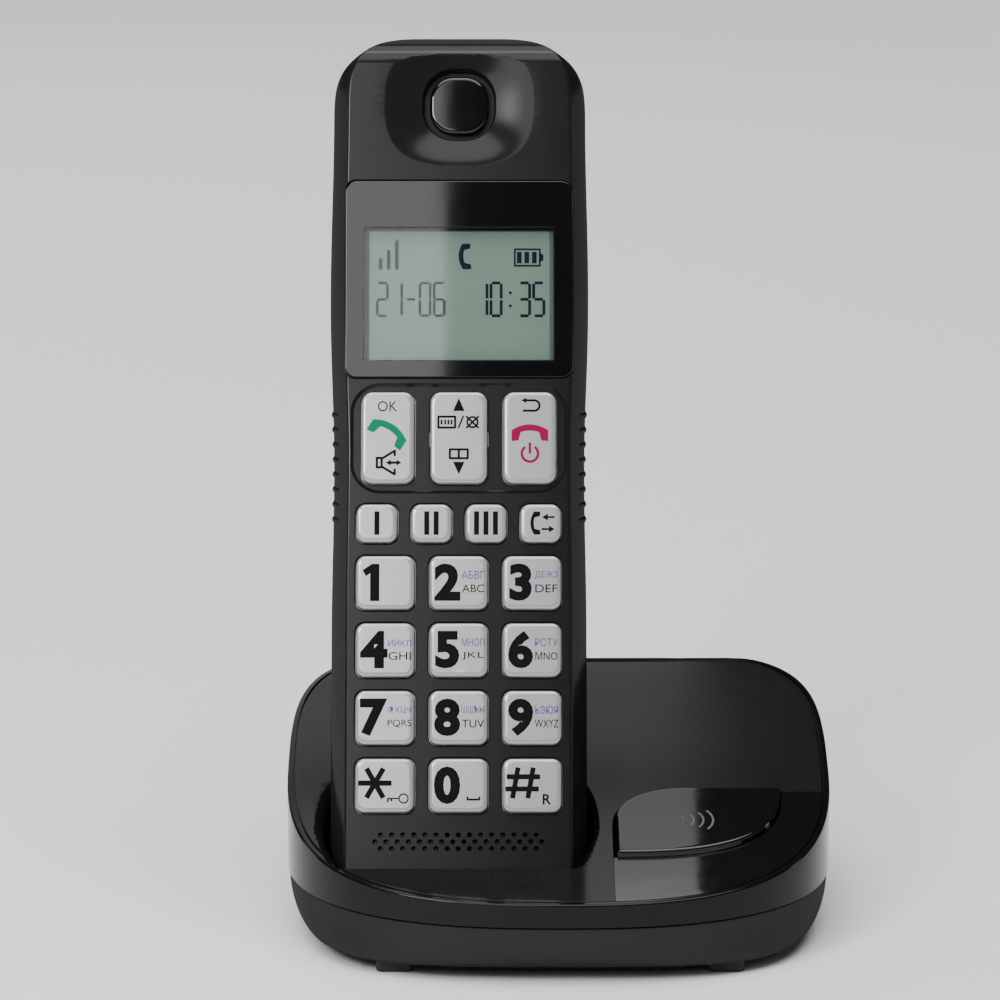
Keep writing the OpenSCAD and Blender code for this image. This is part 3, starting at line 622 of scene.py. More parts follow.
def grown(loop: Loop, by: float) -> Loop:
    """An anticlockwise loop moved outwards by a distance."""
    out: Loop = []
    n = len(loop)
    for i, (x, y) in enumerate(loop):
        (ax, ay), (bx, by_) = loop[i - 1], loop[(i + 1) % n]
        first = Vector((y - ay, ax - x)).normalized() if (x, y) != (ax, ay) else Vector((0, 0))
        second = Vector((by_ - y, x - bx)).normalized() if (x, y) != (bx, by_) else first
        normal = first + second
        if normal.length < 1e-6:
            normal = first
        normal.normalize()
        stretch = 1 / max(0.5, normal.dot(first)) if first.length > 0 else 1.0
        out.append((x + normal.x * by * stretch, y + normal.y * by * stretch))
    return out


def prism(loop_at: Callable[[float], Loop], levels: list[Point2],
          caps: tuple[bool, bool] = (True, True)) -> Shape:
    """A prism along y whose outline grows from level to level.

    Args:
        loop_at: the outline in x and z for a growth.
        levels: y and growth at each level.
        caps: whether the ends are closed.

    Returns:
        The shape.
    """
    rings = [[Vector((x, y, z)) for x, z in loop_at(grow)] for y, grow in levels]
    return Shape().loft(rings, caps)


def stroke(path: Loop, width: float, closed: bool = False) -> list[Loop]:
    """A pen line as one rectangle for each stretch and one disc at each joint.

    Args:
        path: the points the pen passes.
        width: the line's width.
        closed: whether it ends where it began.

    Returns:
        Closed loops.
    """
    loops: list[Loop] = []
    pairs = list(zip(path, path[1:])) + ([(path[-1], path[0])] if closed else [])
    for (ax, ay), (bx, by) in pairs:
        d = Vector((bx - ax, by - ay))
        if d.length < 1e-6:
            continue
        d.normalize()
        px, py = -d.y * width / 2, d.x * width / 2
        loops.append([(ax - px, ay - py), (bx - px, by - py), (bx + px, by + py), (ax + px, ay + py)])
    joints = path if closed else path[1:-1]
    loops.extend(disc(x, y, width / 2, 10) for x, y in joints)
    return loops


def disc(x: float, y: float, r: float, n: int = 20) -> Loop:
    """A circle as a loop."""
    return [(x + r * math.cos(2 * math.pi * i / n), y + r * math.sin(2 * math.pi * i / n)) for i in range(n)]


def arc(x: float, y: float, r: float, start: float, end: float, n: int = 14) -> Loop:
    """Points of an arc, its angles in degrees."""
    return [(x + r * math.cos(math.radians(start + (end - start) * i / n)),
             y + r * math.sin(math.radians(start + (end - start) * i / n))) for i in range(n + 1)]


def printed(loops: list[Loop], face_y: float, film: float = 0.03) -> Shape:
    """A film of ink on a face that looks towards -y.

    Args:
        loops: closed loops in x and z.
        face_y: the face's y.
        film: the film's thickness.

    Returns:
        The film as thin prisms.
    """
    made = Shape()
    for i, loop in enumerate(loops):
        area = sum(a[0] * b[1] - b[0] * a[1] for a, b in zip(loop, loop[1:] + loop[:1]))
        turned = loop if area > 0 else list(reversed(loop))
        top = face_y - film - 0.0007 * i
        made.join(prism(lambda g, turned=turned: turned, [(top, 0), (face_y + 0.01, 0)]))
    return made


def lettering(text: str, height: float, centre: Point2, face_y: float, weight: float = 0.0,
              squeeze: float = 1.0) -> Shape:
    """Printed text on a face that looks towards -y.

    Args:
        text: what it says.
        height: height of its capitals.
        centre: where its middle is.
        face_y: the face's y.
        weight: how much its strokes are thickened.
        squeeze: how wide it is for its height.

    Returns:
        The ink.
    """
    curve = bpy.data.curves.new("text", "FONT")
    curve.body, curve.size, curve.resolution_u = text, 1.0, 4
    curve.offset = weight
    obj = bpy.data.objects.new("text", curve)
    bpy.context.scene.collection.objects.link(obj)
    bpy.context.view_layer.update()
    mesh = bpy.data.meshes.new_from_object(obj.evaluated_get(bpy.context.evaluated_depsgraph_get()))
    xs, ys = [v.co.x for v in mesh.vertices], [v.co.y for v in mesh.vertices]
    scale = height / (max(ys) - min(ys))
    mx, my = (max(xs) + min(xs)) / 2, (max(ys) + min(ys)) / 2
    made = Shape([Vector(((v.co.x - mx) * scale * squeeze + centre[0], face_y - 0.03,
                          (v.co.y - my) * scale + centre[1])) for v in mesh.vertices])
    for polygon in mesh.polygons:
        made.face(polygon.vertices)
    bpy.data.objects.remove(obj)
    bpy.data.curves.remove(curve)
    bpy.data.meshes.remove(mesh)
    return made


# ---------------------------------------------------------------- frames and making


@dataclass
class LocalFrame:
    """A frame tied to a body, in which its pieces are drawn in millimetres.

    Attributes:
        matrix: from local millimetres to row metres.
        body: the CAD body that its pieces ride on.
        nodes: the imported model's CAD nodes by name.
    """

    matrix: Matrix
    body: str
    nodes: dict[str, bpy.types.Object]

    def points(self, node: str) -> list[Vector]:
        """A CAD node's points in this frame, in millimetres."""
        back = self.matrix.inverted()
        return [back @ v.co for v in self.nodes[node].data.vertices]

    def dress(self, node: str, finish: Finish) -> None:
        """Puts a finish on a CAD node that stays."""
        data = self.nodes[node].data
        data.materials.clear()
        data.materials.append(finish.material())

    def box(self, node: str) -> tuple[Vector, Vector]:
        """Lowest and highest corners of a CAD node in this frame, in millimetres."""
        seen = self.points(node)
        return (Vector([min(p[i] for p in seen) for i in range(3)]),
                Vector([max(p[i] for p in seen) for i in range(3)]))

    def local(self, point: Vector) -> Vector:
        """A row point, in metres, in this frame's millimetres."""
        return self.matrix.inverted() @ point

    def make(self, name: str, shape: Shape, finishes: list[Finish], body: str | None = None,
             stands_for: tuple[str, ...] = (), slot: str | None = None, sharp: float = 32.0,
             carve: tuple[Shape, ...] = (), keep: Shape | None = None) -> bpy.types.Object:
        """Makes a piece.

        Args:
            name: the piece's name.
            shape: its shape in this frame.
            finishes: the finishes of its face kinds.
            body: the body it rides on, if not this frame's.
            stands_for: CAD nodes it replaces.
            slot: not used.
            sharp: angle above which an edge stays sharp, in degrees.
            carve: shapes cut away one after the other.
            keep: a shape that it is cut down to first.

        Returns:
            The object.
        """
        obj = raw_object(name, shape)
        if keep:
            cut(obj, keep, "INTERSECT")
        for cutter in carve:
            cut(obj, cutter, "DIFFERENCE")
        obj.data.transform(self.matrix)
        for finish in finishes:
            obj.data.materials.append(finish.material())
        obj.data.polygons.foreach_set("use_smooth", [True] * len(obj.data.polygons))
        obj.data.set_sharp_from_angle(angle=math.radians(sharp))
        weighted = obj.modifiers.new("weighted", "WEIGHTED_NORMAL")
        weighted.keep_sharp, weighted.weight = True, 80
        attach(obj, body or self.body)
        if stands_for:
            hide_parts(*stands_for)
        LOG.info("%s: %d faces on %s", name, len(obj.data.polygons), body or self.body)
        return obj


def raw_object(name: str, shape: Shape) -> bpy.types.Object:
    """A linked object from a shape, its faces turned outwards."""
    mesh = bpy.data.meshes.new(name)
    mesh.from_pydata([p[:] for p in shape.points], [], shape.faces)
    mesh.polygons.foreach_set("material_index", shape.kinds)
    work = bmesh.new()
    work.from_mesh(mesh)
    bmesh.ops.remove_doubles(work, verts=work.verts, dist=1e-5)
    bmesh.ops.recalc_face_normals(work, faces=work.faces)
    work.to_mesh(mesh)
    work.free()
    obj = bpy.data.objects.new(name, mesh)
    bpy.context.scene.collection.objects.link(obj)
    return obj


def cut(obj: bpy.types.Object, tool: Shape, operation: str) -> None:
    """Applies one exact Boolean to an object.

    Args:
        obj: the object that is changed.
        tool: the other shape.
        operation: INTERSECT or DIFFERENCE.
    """
    other = raw_object("tool", tool)
    change = obj.modifiers.new("cut", "BOOLEAN")
    change.operation, change.solver, change.object = operation, "EXACT", other
    change.material_mode = "INDEX"
    bpy.context.view_layer.update()
    done = bpy.data.meshes.new_from_object(obj.evaluated_get(bpy.context.evaluated_depsgraph_get()))
    obj.modifiers.clear()
    old, obj.data = obj.data, done
    bpy.data.meshes.remove(old)
    spare = other.data
    bpy.data.objects.remove(other)
    bpy.data.meshes.remove(spare)


def block(low: tuple, high: tuple) -> Shape:
    """A box as a cutting tool."""
    (ax, ay, az), (bx, by, bz) = low, high
    rings = [[Vector((ax, ay, z)), Vector((bx, ay, z)), Vector((bx, by, z)), Vector((ax, by, z))]
             for z in (az, bz)]
    return Shape().loft(rings)


# ---------------------------------------------------------------- handset


@dataclass
class HandsetForm:
    """The handset's outer form, in its own frame: x across, y inwards from its face, z along it.

    Attributes:
        width: width at the grip's ends.
        length: overall length.
        face_w: width of the flat face.
        thick: thickness over the batteries.
        waist_z: height of the waist.
        swell_z: height of the swell.
        flat_top: height above which the back thins.
    """

    width: float
    length: float
    face_w: float
    thick: float
    waist_z: float
    swell_z: float
    flat_top: float
    crown: float = 16.5
    crown_power: float = 3.5
    widest: float = 9.0
    back_power: float = 2.8
    heel_flat: float = 13.0
    heel_r: float = 11.0

    @staticmethod
    def bell(z: float, centre: float, reach: float) -> float:
        """A bell of height 1."""
        d = abs(z - centre)
        return (1 + math.cos(math.pi * d / reach)) / 2 if d < reach else 0.0

    def plain_half(self, z: float) -> float:
        """Half width at a height, without the rounded ends."""
        return self.width / 2 - 0.35 * self.bell(z, self.waist_z, 30) + 0.5 * self.bell(z, self.swell_z, 34)

    def half(self, z: float, inset: float) -> float:
        """Half width at a height, for a form moved inwards by inset."""
        top = self.length - inset
        start = self.length - self.crown
        base = self.plain_half(min(z, start)) - inset
        if z > start:
            u = min(1.0, (z - start) / (top - start))
            base *= max(0.0, 1 - u ** self.crown_power) ** (1 / self.crown_power)
        r = 5.0 - inset if inset > 0 else 5.0
        low = z - inset
        if 0 <= low < r:
            base -= r - math.sqrt(max(0.0, r * r - (r - low) ** 2))
        return base

    def front(self, z: float, inset: float) -> float:
        """Place of the front surface at a height."""
        y = inset
        low, high = z - inset, self.length - inset - z
        for distance, r in ((low, 3.0), (high, 6.0)):
            r = max(1.0, r - inset)
            if distance < r:
                y += r - math.sqrt(max(0.0, r * r - (r - max(0.0, distance)) ** 2))
        return y

    def back(self, z: float, inset: float) -> float:
        """Place of the back surface at a height."""
        heel_t = self.thick - 3
        if z < 42:
            points = ((self.heel_r, heel_t), (20, heel_t + 1.6), (31, self.thick - 0.4), (42, self.thick))
            y = self.thick
            for (za, ya), (zb, yb) in zip(points, points[1:]):
                if za <= z <= zb:
                    t = (z - za) / (zb - za)
                    y = ya + (yb - ya) * t
            if z < self.heel_r:
                y = heel_t
        else:
            u = max(0.0, (z - self.flat_top) / (self.length - self.flat_top))
            y = self.thick - 7.45 * u * u
        y -= inset
        low, high = z - inset, self.length - inset - z
        r = max(2.0, self.heel_r - inset)
        if low < r:
            y -= r - math.sqrt(max(0.0, r * r - (r - max(0.0, low)) ** 2))
        r = max(2.0, 9.6 - inset)
        if high < r:
            y -= r - math.sqrt(max(0.0, r * r - (r - max(0.0, high)) ** 2))
        return y

    def profile(self, back_depth: float, inset: float) -> Loop:
        """The right half of the cross-section from the middle of the face to the middle of the back.

        Args:
            back_depth: depth of the back behind the widest place.
            inset: how far the form is moved inwards.

        Returns:
            x as a share of the half width, and y in millimetres from the front surface.
        """
        f = self.face_w / 2
        out = f + 2.8
        edge = 0.7
        half: Loop = [(0.0, 0.0), (f * 0.25, 0.0), (f * 0.5, 0.0), (f * 0.75, 0.0)]
        half += [(f - edge + edge * math.sin(math.radians(a)), edge - edge * math.cos(math.radians(a)))
                 for a in (0, 18, 36, 54, 70)]
        x0, y0 = half[-1]
        for i in range(1, 11):
            t = i / 10
            half.append((x0 + (out - x0) * (1 - (1 - t) ** 1.3), y0 + (self.widest - inset - y0) * t))
        for x, y in power_quarter(out, back_depth, self.back_power, 22)[1:]:
            half.append((x, self.widest - inset + y))
        return [(x / out, y) for x, y in half]

    def levels(self, inset: float, low: float, high: float) -> list[float]:
        """Heights of the rings, close together where the ends are rounded."""
        a, b = max(low, inset), min(high, self.length - inset)
        zs = {a, b}
        for i in range(15):
            zs.add(a + 12 * (1 - math.cos(math.pi / 2 * i / 14)))
        steps = int((b - a) / 2.0)
        zs.update(a + (b - a) * i / steps for i in range(steps + 1))
        for i in range(30):
            zs.add(self.length - inset - self.crown * (1 - math.sin(math.pi / 2 * i / 29)))
        ordered = sorted(z for z in zs if a <= z <= b)
        kept = [ordered[0]]
        for z in ordered[1:]:
            if z - kept[-1] > 0.02:
                kept.append(z)
        return kept

    def ring(self, z: float, inset: float, at: float | None = None) -> list[Vector]:
        """One cross-section.

        Args:
            z: the height whose section is drawn.
            inset: how far the form is moved inwards; negative grows it.
            at: the height where it is put, if not z.

        Returns:
            Points once round.
        """
        half, front, back = self.half(z, inset), self.front(z, inset), self.back(z, inset)
        widest = max(front + 0.5, min(self.widest, (front + back) / 2 + 2))
        profile = self.profile(max(0.5, back - widest), inset)
        span = self.widest - inset
        ring: list[Vector] = []
        for share, y in profile:
            put = front + y / span * (widest - front) if y <= span else widest + (y - span)
            ring.append(Vector((share * max(0.02, half), put, z if at is None else at)))
        return ring + [Vector((-p.x, p.y, p.z)) for p in reversed(ring[1:-1])]

    def solid(self, inset: float = 0.0, low: float = -99.0, high: float = 999.0) -> Shape:
        """The form as one closed skin, moved inwards by inset, between two heights."""
        return Shape().loft([self.ring(z, inset) for z in self.levels(inset, low, high)])


@dataclass
class Handset:
    """The handset's shells, display, earpiece and small hardware.

    Attributes:
        space: the handset's frame.
        form: its outer form.
    """

    space: LocalFrame
    form: HandsetForm
    wall: float = 1.8
    chamfer: float = 0.16

    @classmethod
    def from_frame(cls, frame: dict) -> "Handset":
        """Reads the handset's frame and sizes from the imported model."""
        lift = next(j for j in frame["joints"] if j["name"] == "handset_lift")
        along = Vector(lift["axis"]).normalized()
        across = Vector((1, 0, 0))
        inward = along.cross(across)
        turn = Matrix((across, inward, along)).transposed().to_4x4()
        space = LocalFrame(turn @ Matrix.Scale(MM, 4), "handset", frame["nodes"])
        shell_low, shell_high = space.box("handset_front_shell")
        face = space.box("display_lens")[0].y
        origin = Vector(((shell_low.x + shell_high.x) / 2, face, shell_low.z))
        space.matrix = space.matrix @ Matrix.Translation(origin)
        low, high = space.box("handset_rear_shell")
        lens_low, lens_high = space.box("display_lens")
        cover_low, cover_high = space.box("battery_cover")
        keys = space.box("key_navigator")
        face_w = lens_high.x - lens_low.x + 0.7
        form = HandsetForm(width=face_w + 4.6, length=high.z, face_w=face_w, thick=high.y,
                           waist_z=(keys[0].z + keys[1].z) / 2 - 6, swell_z=lens_low.z + 18,
                           flat_top=cover_high.z)
        return cls(space, form)

    def hole(self, node: str, gap: float, r: float, depth: float) -> Shape:
        """A chamfered hole that follows a node's outline.

        Args:
            node: the node.
            gap: clearance round it.
            r: corner radius of the node.
            depth: how deep the hole goes.

        Returns:
            The cutting tool.
        """
        w, h, x, z = self.cap_size(node)
        c = self.chamfer
        tool = prism(lambda g: rounded_loop(w + 2 * (gap + g), h + 2 * (gap + g), r + gap + g, 6),
                     [(depth, 0.0), (c, 0.0), (0.0, c), (-1.0, c + 1.0)])
        return tool.moved(lambda p: Vector((p.x + x, p.y, p.z + z)))

    def cap_size(self, node: str) -> tuple[float, float, float, float]:
        """Width, height and middle of what shows of a key, which is narrower than its flange."""
        low, high = self.space.box(node)
        tall = high.z - low.z - (0.0 if node == "key_navigator" else 1.0)
        return high.x - low.x - 1.6, tall, (low.x + high.x) / 2, (low.z + high.z) / 2

    def build(self) -> None:
        """Builds every piece of the handset's own body."""
        self.front_shell()
        self.rear_shell()
        self.cover()
        self.display()
        self.earpiece()
        self.dress()

    def halves(self) -> tuple[float, Shape]:
        """The seam's place and the hollow form."""
        seam = self.space.box("handset_front_shell")[1].y
        hollow = self.form.solid()
        hollow.join(self.form.solid(self.wall))
        return seam, hollow

    def ear_dish(self) -> Shape:
        """The soft-edged dish around the earpiece."""
        low, high = self.space.box("earpiece_cap")
        middle = (low.z + high.z) / 2
        outline = [(math.copysign(abs(math.cos(a)) ** 0.72, math.cos(a)),
                    math.copysign(abs(math.sin(a)) ** 0.72, math.sin(a)))
                   for a in (2 * math.pi * j / 96 for j in range(96))]
        rings = [[Vector((14.6 * s * x, y, middle + 12.4 * s * z)) for x, z in outline]
                 for s, y in ((1.5, -1.0), (1.0, -0.01))]
        for i in range(1, 26):
            s = 1 - i / 26
            rings.append([Vector((14.6 * s * x, 1.7 * (1 - s * s) ** 1.6, middle + 12.4 * s * z))
                          for x, z in outline])
        return Shape().loft(rings)

    def front_shell(self) -> None:
        """The face, with its recesses first and its holes after them."""
        seam, hollow = self.halves()
        far = 400.0
        c = self.chamfer
        lens = self.panel_size()
        recess = prism(lambda g: rounded_loop(lens[0] + 0.36 + 2 * g, lens[1] + 0.36 + 2 * g, 2.2 + g, 8),
                       [(1.1, 0.0), (c, 0.0), (0.0, c), (-1.0, c + 1)])
        recess = recess.moved(lambda p: p + Vector((0, 0, lens[2])))
        low, high = self.space.box("key_navigator")
        tray_w = 2 * (self.space.box("key_off")[1].x + 1.1)
        tray_h = high.z - low.z + 3.0
        mid = (low.z + high.z) / 2
        tray = prism(lambda g: rounded_loop(tray_w + 2 * g, tray_h + 2 * g, 5.5 + g, 12),
                     [(0.6, -0.35), (0.42, -0.1), (0.2, 0.1), (-0.1, 0.38), (-1.0, 1.2)])
        tray = tray.moved(lambda p: p + Vector((0, 0, mid)))
        shallow = Shape().join(recess).join(tray).join(self.ear_dish())
        deep = Shape()
        for node, r in ((n, key_radius(n)) for n in KEY_NODES):
            deep.join(self.hole(node, 0.22, r, 3.0))
        w_low, w_high = self.space.box("lcd_glass")
        deep.join(block((w_low.x + 0.4, 0.5, w_low.z + 0.4), (w_high.x - 0.4, 4.0, w_high.z - 0.4)))
        e_low, e_high = self.space.box("earpiece_cap")
        cap = (e_high.x - e_low.x, (e_low.z + e_high.z) / 2)
        deep.join(prism(lambda g: rounded_loop(cap[0] + 1.1 + 2 * g, cap[0] + 1.1 + 2 * g, 5.6 + g, 10),
                        [(6.0, 0.0), (2.4, 0.0), (1.9, 0.3), (0.0, 0.6), (-1.0, 0.8)])
                  .moved(lambda p: p + Vector((0, 0, cap[1]))))
        mouth = (self.space.box("mic_boot")[0].z + self.space.box("mic_boot")[1].z) / 2
        for row in (-1, 0, 1):
            for i in range(-7, 8 + (row == 0)):
                x = (i - (0.5 if row == 0 else 0.0)) * 2.1
                deep.join(prism(lambda g, x=x, row=row: disc(x, mouth + row * 1.3, 0.42 + g, 12),
                                [(3.0, 0.0), (0.1, 0.0), (-0.1, 0.2)]))
        self.space.make("front_shell", hollow, [SATIN], stands_for=("handset_front_shell",),
                        slot="satin_black", keep=block((-far, -far, -far), (far, seam - 0.06, far)),
                        carve=(shallow, deep), sharp=28)
        self.grips()

    def grips(self) -> None:
        """Slanting grip ridges on both sides."""
        low, high = self.space.box("key_memory_1")
        made = Shape()
        for side in (-1, 1):
            for i in range(8):
                z0 = (low.z + high.z) / 2 + 1.6 + i * 2.9
                rings = []
                for k in range(9):
                    t = k / 8
                    y = 4.6 + 9.5 * t
                    z = z0 + 2.2 * t - 0.6
                    x = self.side_x(y, z)
                    rise = 0.34 * math.sin(math.pi * min(1.0, max(0.0, t))) ** 0.5
                    rings.append([Vector((side * (x + h), y, z + w)) for h, w in
                                  ((-0.5, -0.8), (rise * 0.2, -0.62), (rise, -0.2), (rise, 0.2),
                                   (rise * 0.2, 0.62), (-0.5, 0.8))])
                made.join(Shape().loft(rings))
        self.space.make("grip_ridges", made, [SATIN], sharp=60)

    def side_x(self, y: float, z: float) -> float:
        """Half width of the form at a depth and a height."""
        ring = [p for p in self.form.ring(z, 0.0) if p.x > 0]
        for a, b in zip(ring, ring[1:]):
            if a.y <= y <= b.y and b.y > a.y:
                return a.x + (b.x - a.x) * (y - a.y) / (b.y - a.y)
        return max(p.x for p in ring)

    def rear_shell(self) -> None:
        """The back, with its battery bay, speaker slots and screw wells."""
        seam, hollow = self.halves()
        far = 400.0
        low, high = self.space.box("battery_cover")
        gap = 0.22
        opening = block((low.x - gap, 14.0, low.z - gap), (high.x + gap, far, high.z + gap))
        s_low, s_high = self.space.box("loudspeaker")
        middle = (s_low.z + s_high.z) / 2
        slots = Shape().join(opening)
        for i in range(-2, 3):
            half = 7.5 - abs(i)
            slots.join(prism(lambda g, i=i, half=half: [(x, z + middle + i * 3) for x, z in
                                                        rounded_loop(2 * half + 2 * g, 1.3 + 2 * g, 0.64,
                                                                     6)],
                             [(15.0, 0.0), (far / 8, 0.0)]))
        self.space.make("rear_shell", hollow, [SATIN], stands_for=("handset_rear_shell",),
                        slot="satin_black", keep=block((-far, seam + 0.06, -far), (far, far, far)),
                        carve=(slots,), sharp=28)
        bay = self.form.solid(1.78, low.z - 1.6, high.z + 1.6)
        cells = [self.space.box(n) for n in ("battery_1", "battery_2")]
        plates = self.space.box("battery_plates")
        well = (max(abs(cells[0][0].x), abs(cells[1][1].x)) + 0.3, min(c[0].y for c in cells) - 0.2,
                plates[0].z - 0.1, plates[1].z + 0.1)
        floor = well[1] - 1.2
        tool = block((-well[0], well[1], well[2]), (well[0], far, well[3]))
        screws = self.space.box("handset_screws")
        for side in (-1, 1):
            x = side * (screws[1].x - 1.8)
            z = (screws[0].z + screws[1].z) / 2
            tool.join(prism(lambda g, x=x, z=z: disc(x, z, 2.2, 24), [(screws[1].y - 1.3, 0), (40, 0)]))
        self.space.make("battery_bay", bay, [INNER], slot="satin_black",
                        keep=block((low.x - 1.5, floor, -far), (high.x + 1.5, far, far)),
                        carve=(tool,), sharp=28)

    def cover(self) -> None:
        """The battery cover, cut from the same form so that it lies flush, with finger grooves."""
        low, high = self.space.box("battery_cover")
        far = 400.0
        hollow = self.form.solid().join(self.form.solid(1.5))
        grooves = Shape()
        for i in range(5):
            z = high.z - 9.2 + i * 1.6
            half = 6.5 - 0.6 * abs(i - 2)
            grooves.join(prism(lambda g, z=z, half=half: [(x, zz + z) for x, zz in
                                                          rounded_loop(2 * half + 2 * g, 0.8 + 2 * g,
                                                                       0.4 + g, 6)],
                               [(self.form.thick - 0.45, 0.0), (self.form.thick + 0.1, 0.25)]))
        self.space.make("battery_cover_panel", hollow, [SATIN], body="battery_cover",
                        stands_for=("battery_cover",), slot="satin_black",
                        keep=block((low.x, 14.0, low.z), (high.x, far, high.z)), carve=(grooves,), sharp=28)

    def panel_size(self) -> tuple[float, float, float]:
        """Width, height and middle height of the display panel."""
        low, high = self.space.box("display_lens")
        return high.x - low.x, high.z - low.z, (low.z + high.z) / 2

    def display(self) -> None:
        """The polished panel with its window, the pane and the liquid crystal display."""
        w, h, mid = self.panel_size()
        low, high = self.space.box("lcd_glass")
        grow = 1.1
        win_w, win_h = high.x - low.x - 2 * grow, high.z - low.z - 2 * grow
        win_z = (low.z + high.z) / 2
        outline = prism(lambda g: rounded_loop(w + 2 * g, h + 2 * g, 2.2 + g, 10),
                        [(1.05, 0.0), (0.22, 0.0), (0.1, -0.04), (0.03, -0.12), (0.0, -0.24)])
        outline = outline.moved(lambda p: p + Vector((0, 0, mid)))
        window = prism(lambda g: rounded_loop(win_w + 2 * g, win_h + 2 * g, 0.5 + g, 4),
                       [(2.0, 0.0), (0.07, 0.0), (0.0, 0.07), (-1.0, 1.0)])
        window = window.moved(lambda p: p + Vector((0, 0, win_z)))
        panel = self.space.make("display_panel", outline, [GLOSS], stands_for=("display_lens",),
                                slot="lens", carve=(window,), sharp=40)
        del panel
        pane = prism(lambda g: [(x, z + win_z) for x, z in rounded_loop(win_w - 0.02, win_h - 0.02, 0.5, 4)],
                     [(0.62, 0.0), (0.04, 0.0)])
        self.space.make("display_pane", pane, [PANE], slot="lens")
        deep = low.y + 0.1
        lcd = prism(lambda g: [(x, z + win_z) for x, z in
                               rounded_loop(win_w + 1.8 + 2 * g, win_h + 1.8 + 2 * g, 0.6, 4)],
                    [(deep + 1.3, 0.0), (deep + 0.12, 0.0), (deep, -0.12)])
        # The field starts 1.05 mm in from the window's left edge, so a band of the black display body shows
        # there as painted shadow. The strip at its right edge takes the darker field colour as painted shade.
        left, right, tall = -win_w / 2 + 1.05, win_w / 2 - 0.95, win_h / 2 - 0.45
        areas = [[(left, -tall), (right, -tall), (right, tall), (left, tall)],
                 [(right, -tall), (win_w / 2 - 0.25, -tall), (win_w / 2 - 0.25, tall), (right, tall)]]
        for kind, area in zip((1, 2), areas):
            lcd.join(printed([[(x, z + win_z) for x, z in area]], deep, 0.05), kind)
        lcd.join(self.marks(win_w, win_z, deep - 0.05), 3)
        self.space.make("display_glass", lcd, [INNER, FIELD, FIELD_PAINTED_SHADE, SEGMENT],
                        stands_for=("lcd_glass",), slot="lcd")

    def marks(self, win_w: float, win_z: float, face_y: float) -> Shape:
        """Signal bars, a call mark, a battery gauge and a line of segment digits.

        Args:
            win_w: width of the window.
            win_z: middle height of the window.
            face_y: the display's face.

        Returns:
            The dark segments.
        """
        loops: list[Loop] = []
        for i, tall in enumerate((2.2, 3.8, 5.7)):
            x = -15.1 + i * 1.55
            loops.append([(x - 0.36, 5.1), (x + 0.36, 5.1), (x + 0.36, 5.1 + tall), (x - 0.36, 5.1 + tall)])
        loops += receiver(1.15, 7.6, 5.0, 92)
        bx, bz = 13.3, 7.4
        loops += stroke([(bx - 2.6, bz - 1.6), (bx + 2.2, bz - 1.6), (bx + 2.2, bz + 1.6),
                         (bx - 2.6, bz + 1.6)], 0.34, True)
        loops.append([(bx + 2.3, bz - 0.9), (bx + 2.9, bz - 0.5), (bx + 2.9, bz + 0.5),
                      (bx + 2.3, bz + 0.9)])
        for i in range(3):
            x = bx - 1.75 + i * 1.45
            loops.append([(x - 0.45, bz - 1.1), (x + 0.45, bz - 1.1), (x + 0.45, bz + 1.1),
                          (x - 0.45, bz + 1.1)])
        pitch = win_w / 13.4
        for i, sign in enumerate("21-06  10:35"):
            loops += segments(sign, (i - 5.4) * pitch, -0.75, 1.95, 6.4)
        return printed([[(x, z + win_z) for x, z in loop] for loop in loops], face_y, 0.04)

    def earpiece(self) -> None:
        """The polished earpiece insert, crowned, with a felt ring round it."""
        low, high = self.space.box("earpiece_cap")
        w, mid = high.x - low.x - 0.9, (low.z + high.z) / 2
        top = 1.25
        levels = [(high.y, 0.0), (top + 0.9, 0.0), (top + 0.5, -0.05), (top + 0.25, -0.2),
                  (top + 0.09, -0.42), (top + 0.02, -0.7), (top, -1.0)]
        cap = prism(lambda g: rounded_loop(w + 2 * g, w + 2 * g, 4.6 + g * 0.8, 12), levels)
        self.space.make("earpiece_insert", cap.moved(lambda p: p + Vector((0, 0, mid))), [GLOSS],
                        stands_for=("earpiece_cap",), slot="gloss_black", sharp=50)
        ring = Shape().loft([[Vector((x, y, z + mid)) for x,
                              z in rounded_loop(w + 2 * g, w + 2 * g, 5.0 + g, 12)]
                             for y, g in ((3.2, 0.02), (3.2, 1.2), (4.4, 1.2), (4.4, 0.02), (3.2, 0.02))],
                            (False, False))
        self.space.make("earpiece_felt", ring, [FOOT])

    def dress(self) -> None:
        """Gives the CAD pieces that stay their finishes."""
        for node, finish in {
            "lcd_backlight": WHITE, "lcd_frame": INNER, "receiver_gasket": FOOT, "earpiece_speaker": TIN,
            "keypad_membrane": SILICONE, "handset_pcb": BOARD, "handset_shield": TIN, "mic_boot": FOOT,
            "microphone": TIN, "loudspeaker": INNER, "battery_1": CELL, "battery_2": CELL,
            "battery_springs": STEEL, "battery_plates": STEEL, "handset_charge_contacts": NICKEL,
            "handset_screws": STEEL,
        }.items():
            self.space.dress(node, finish)


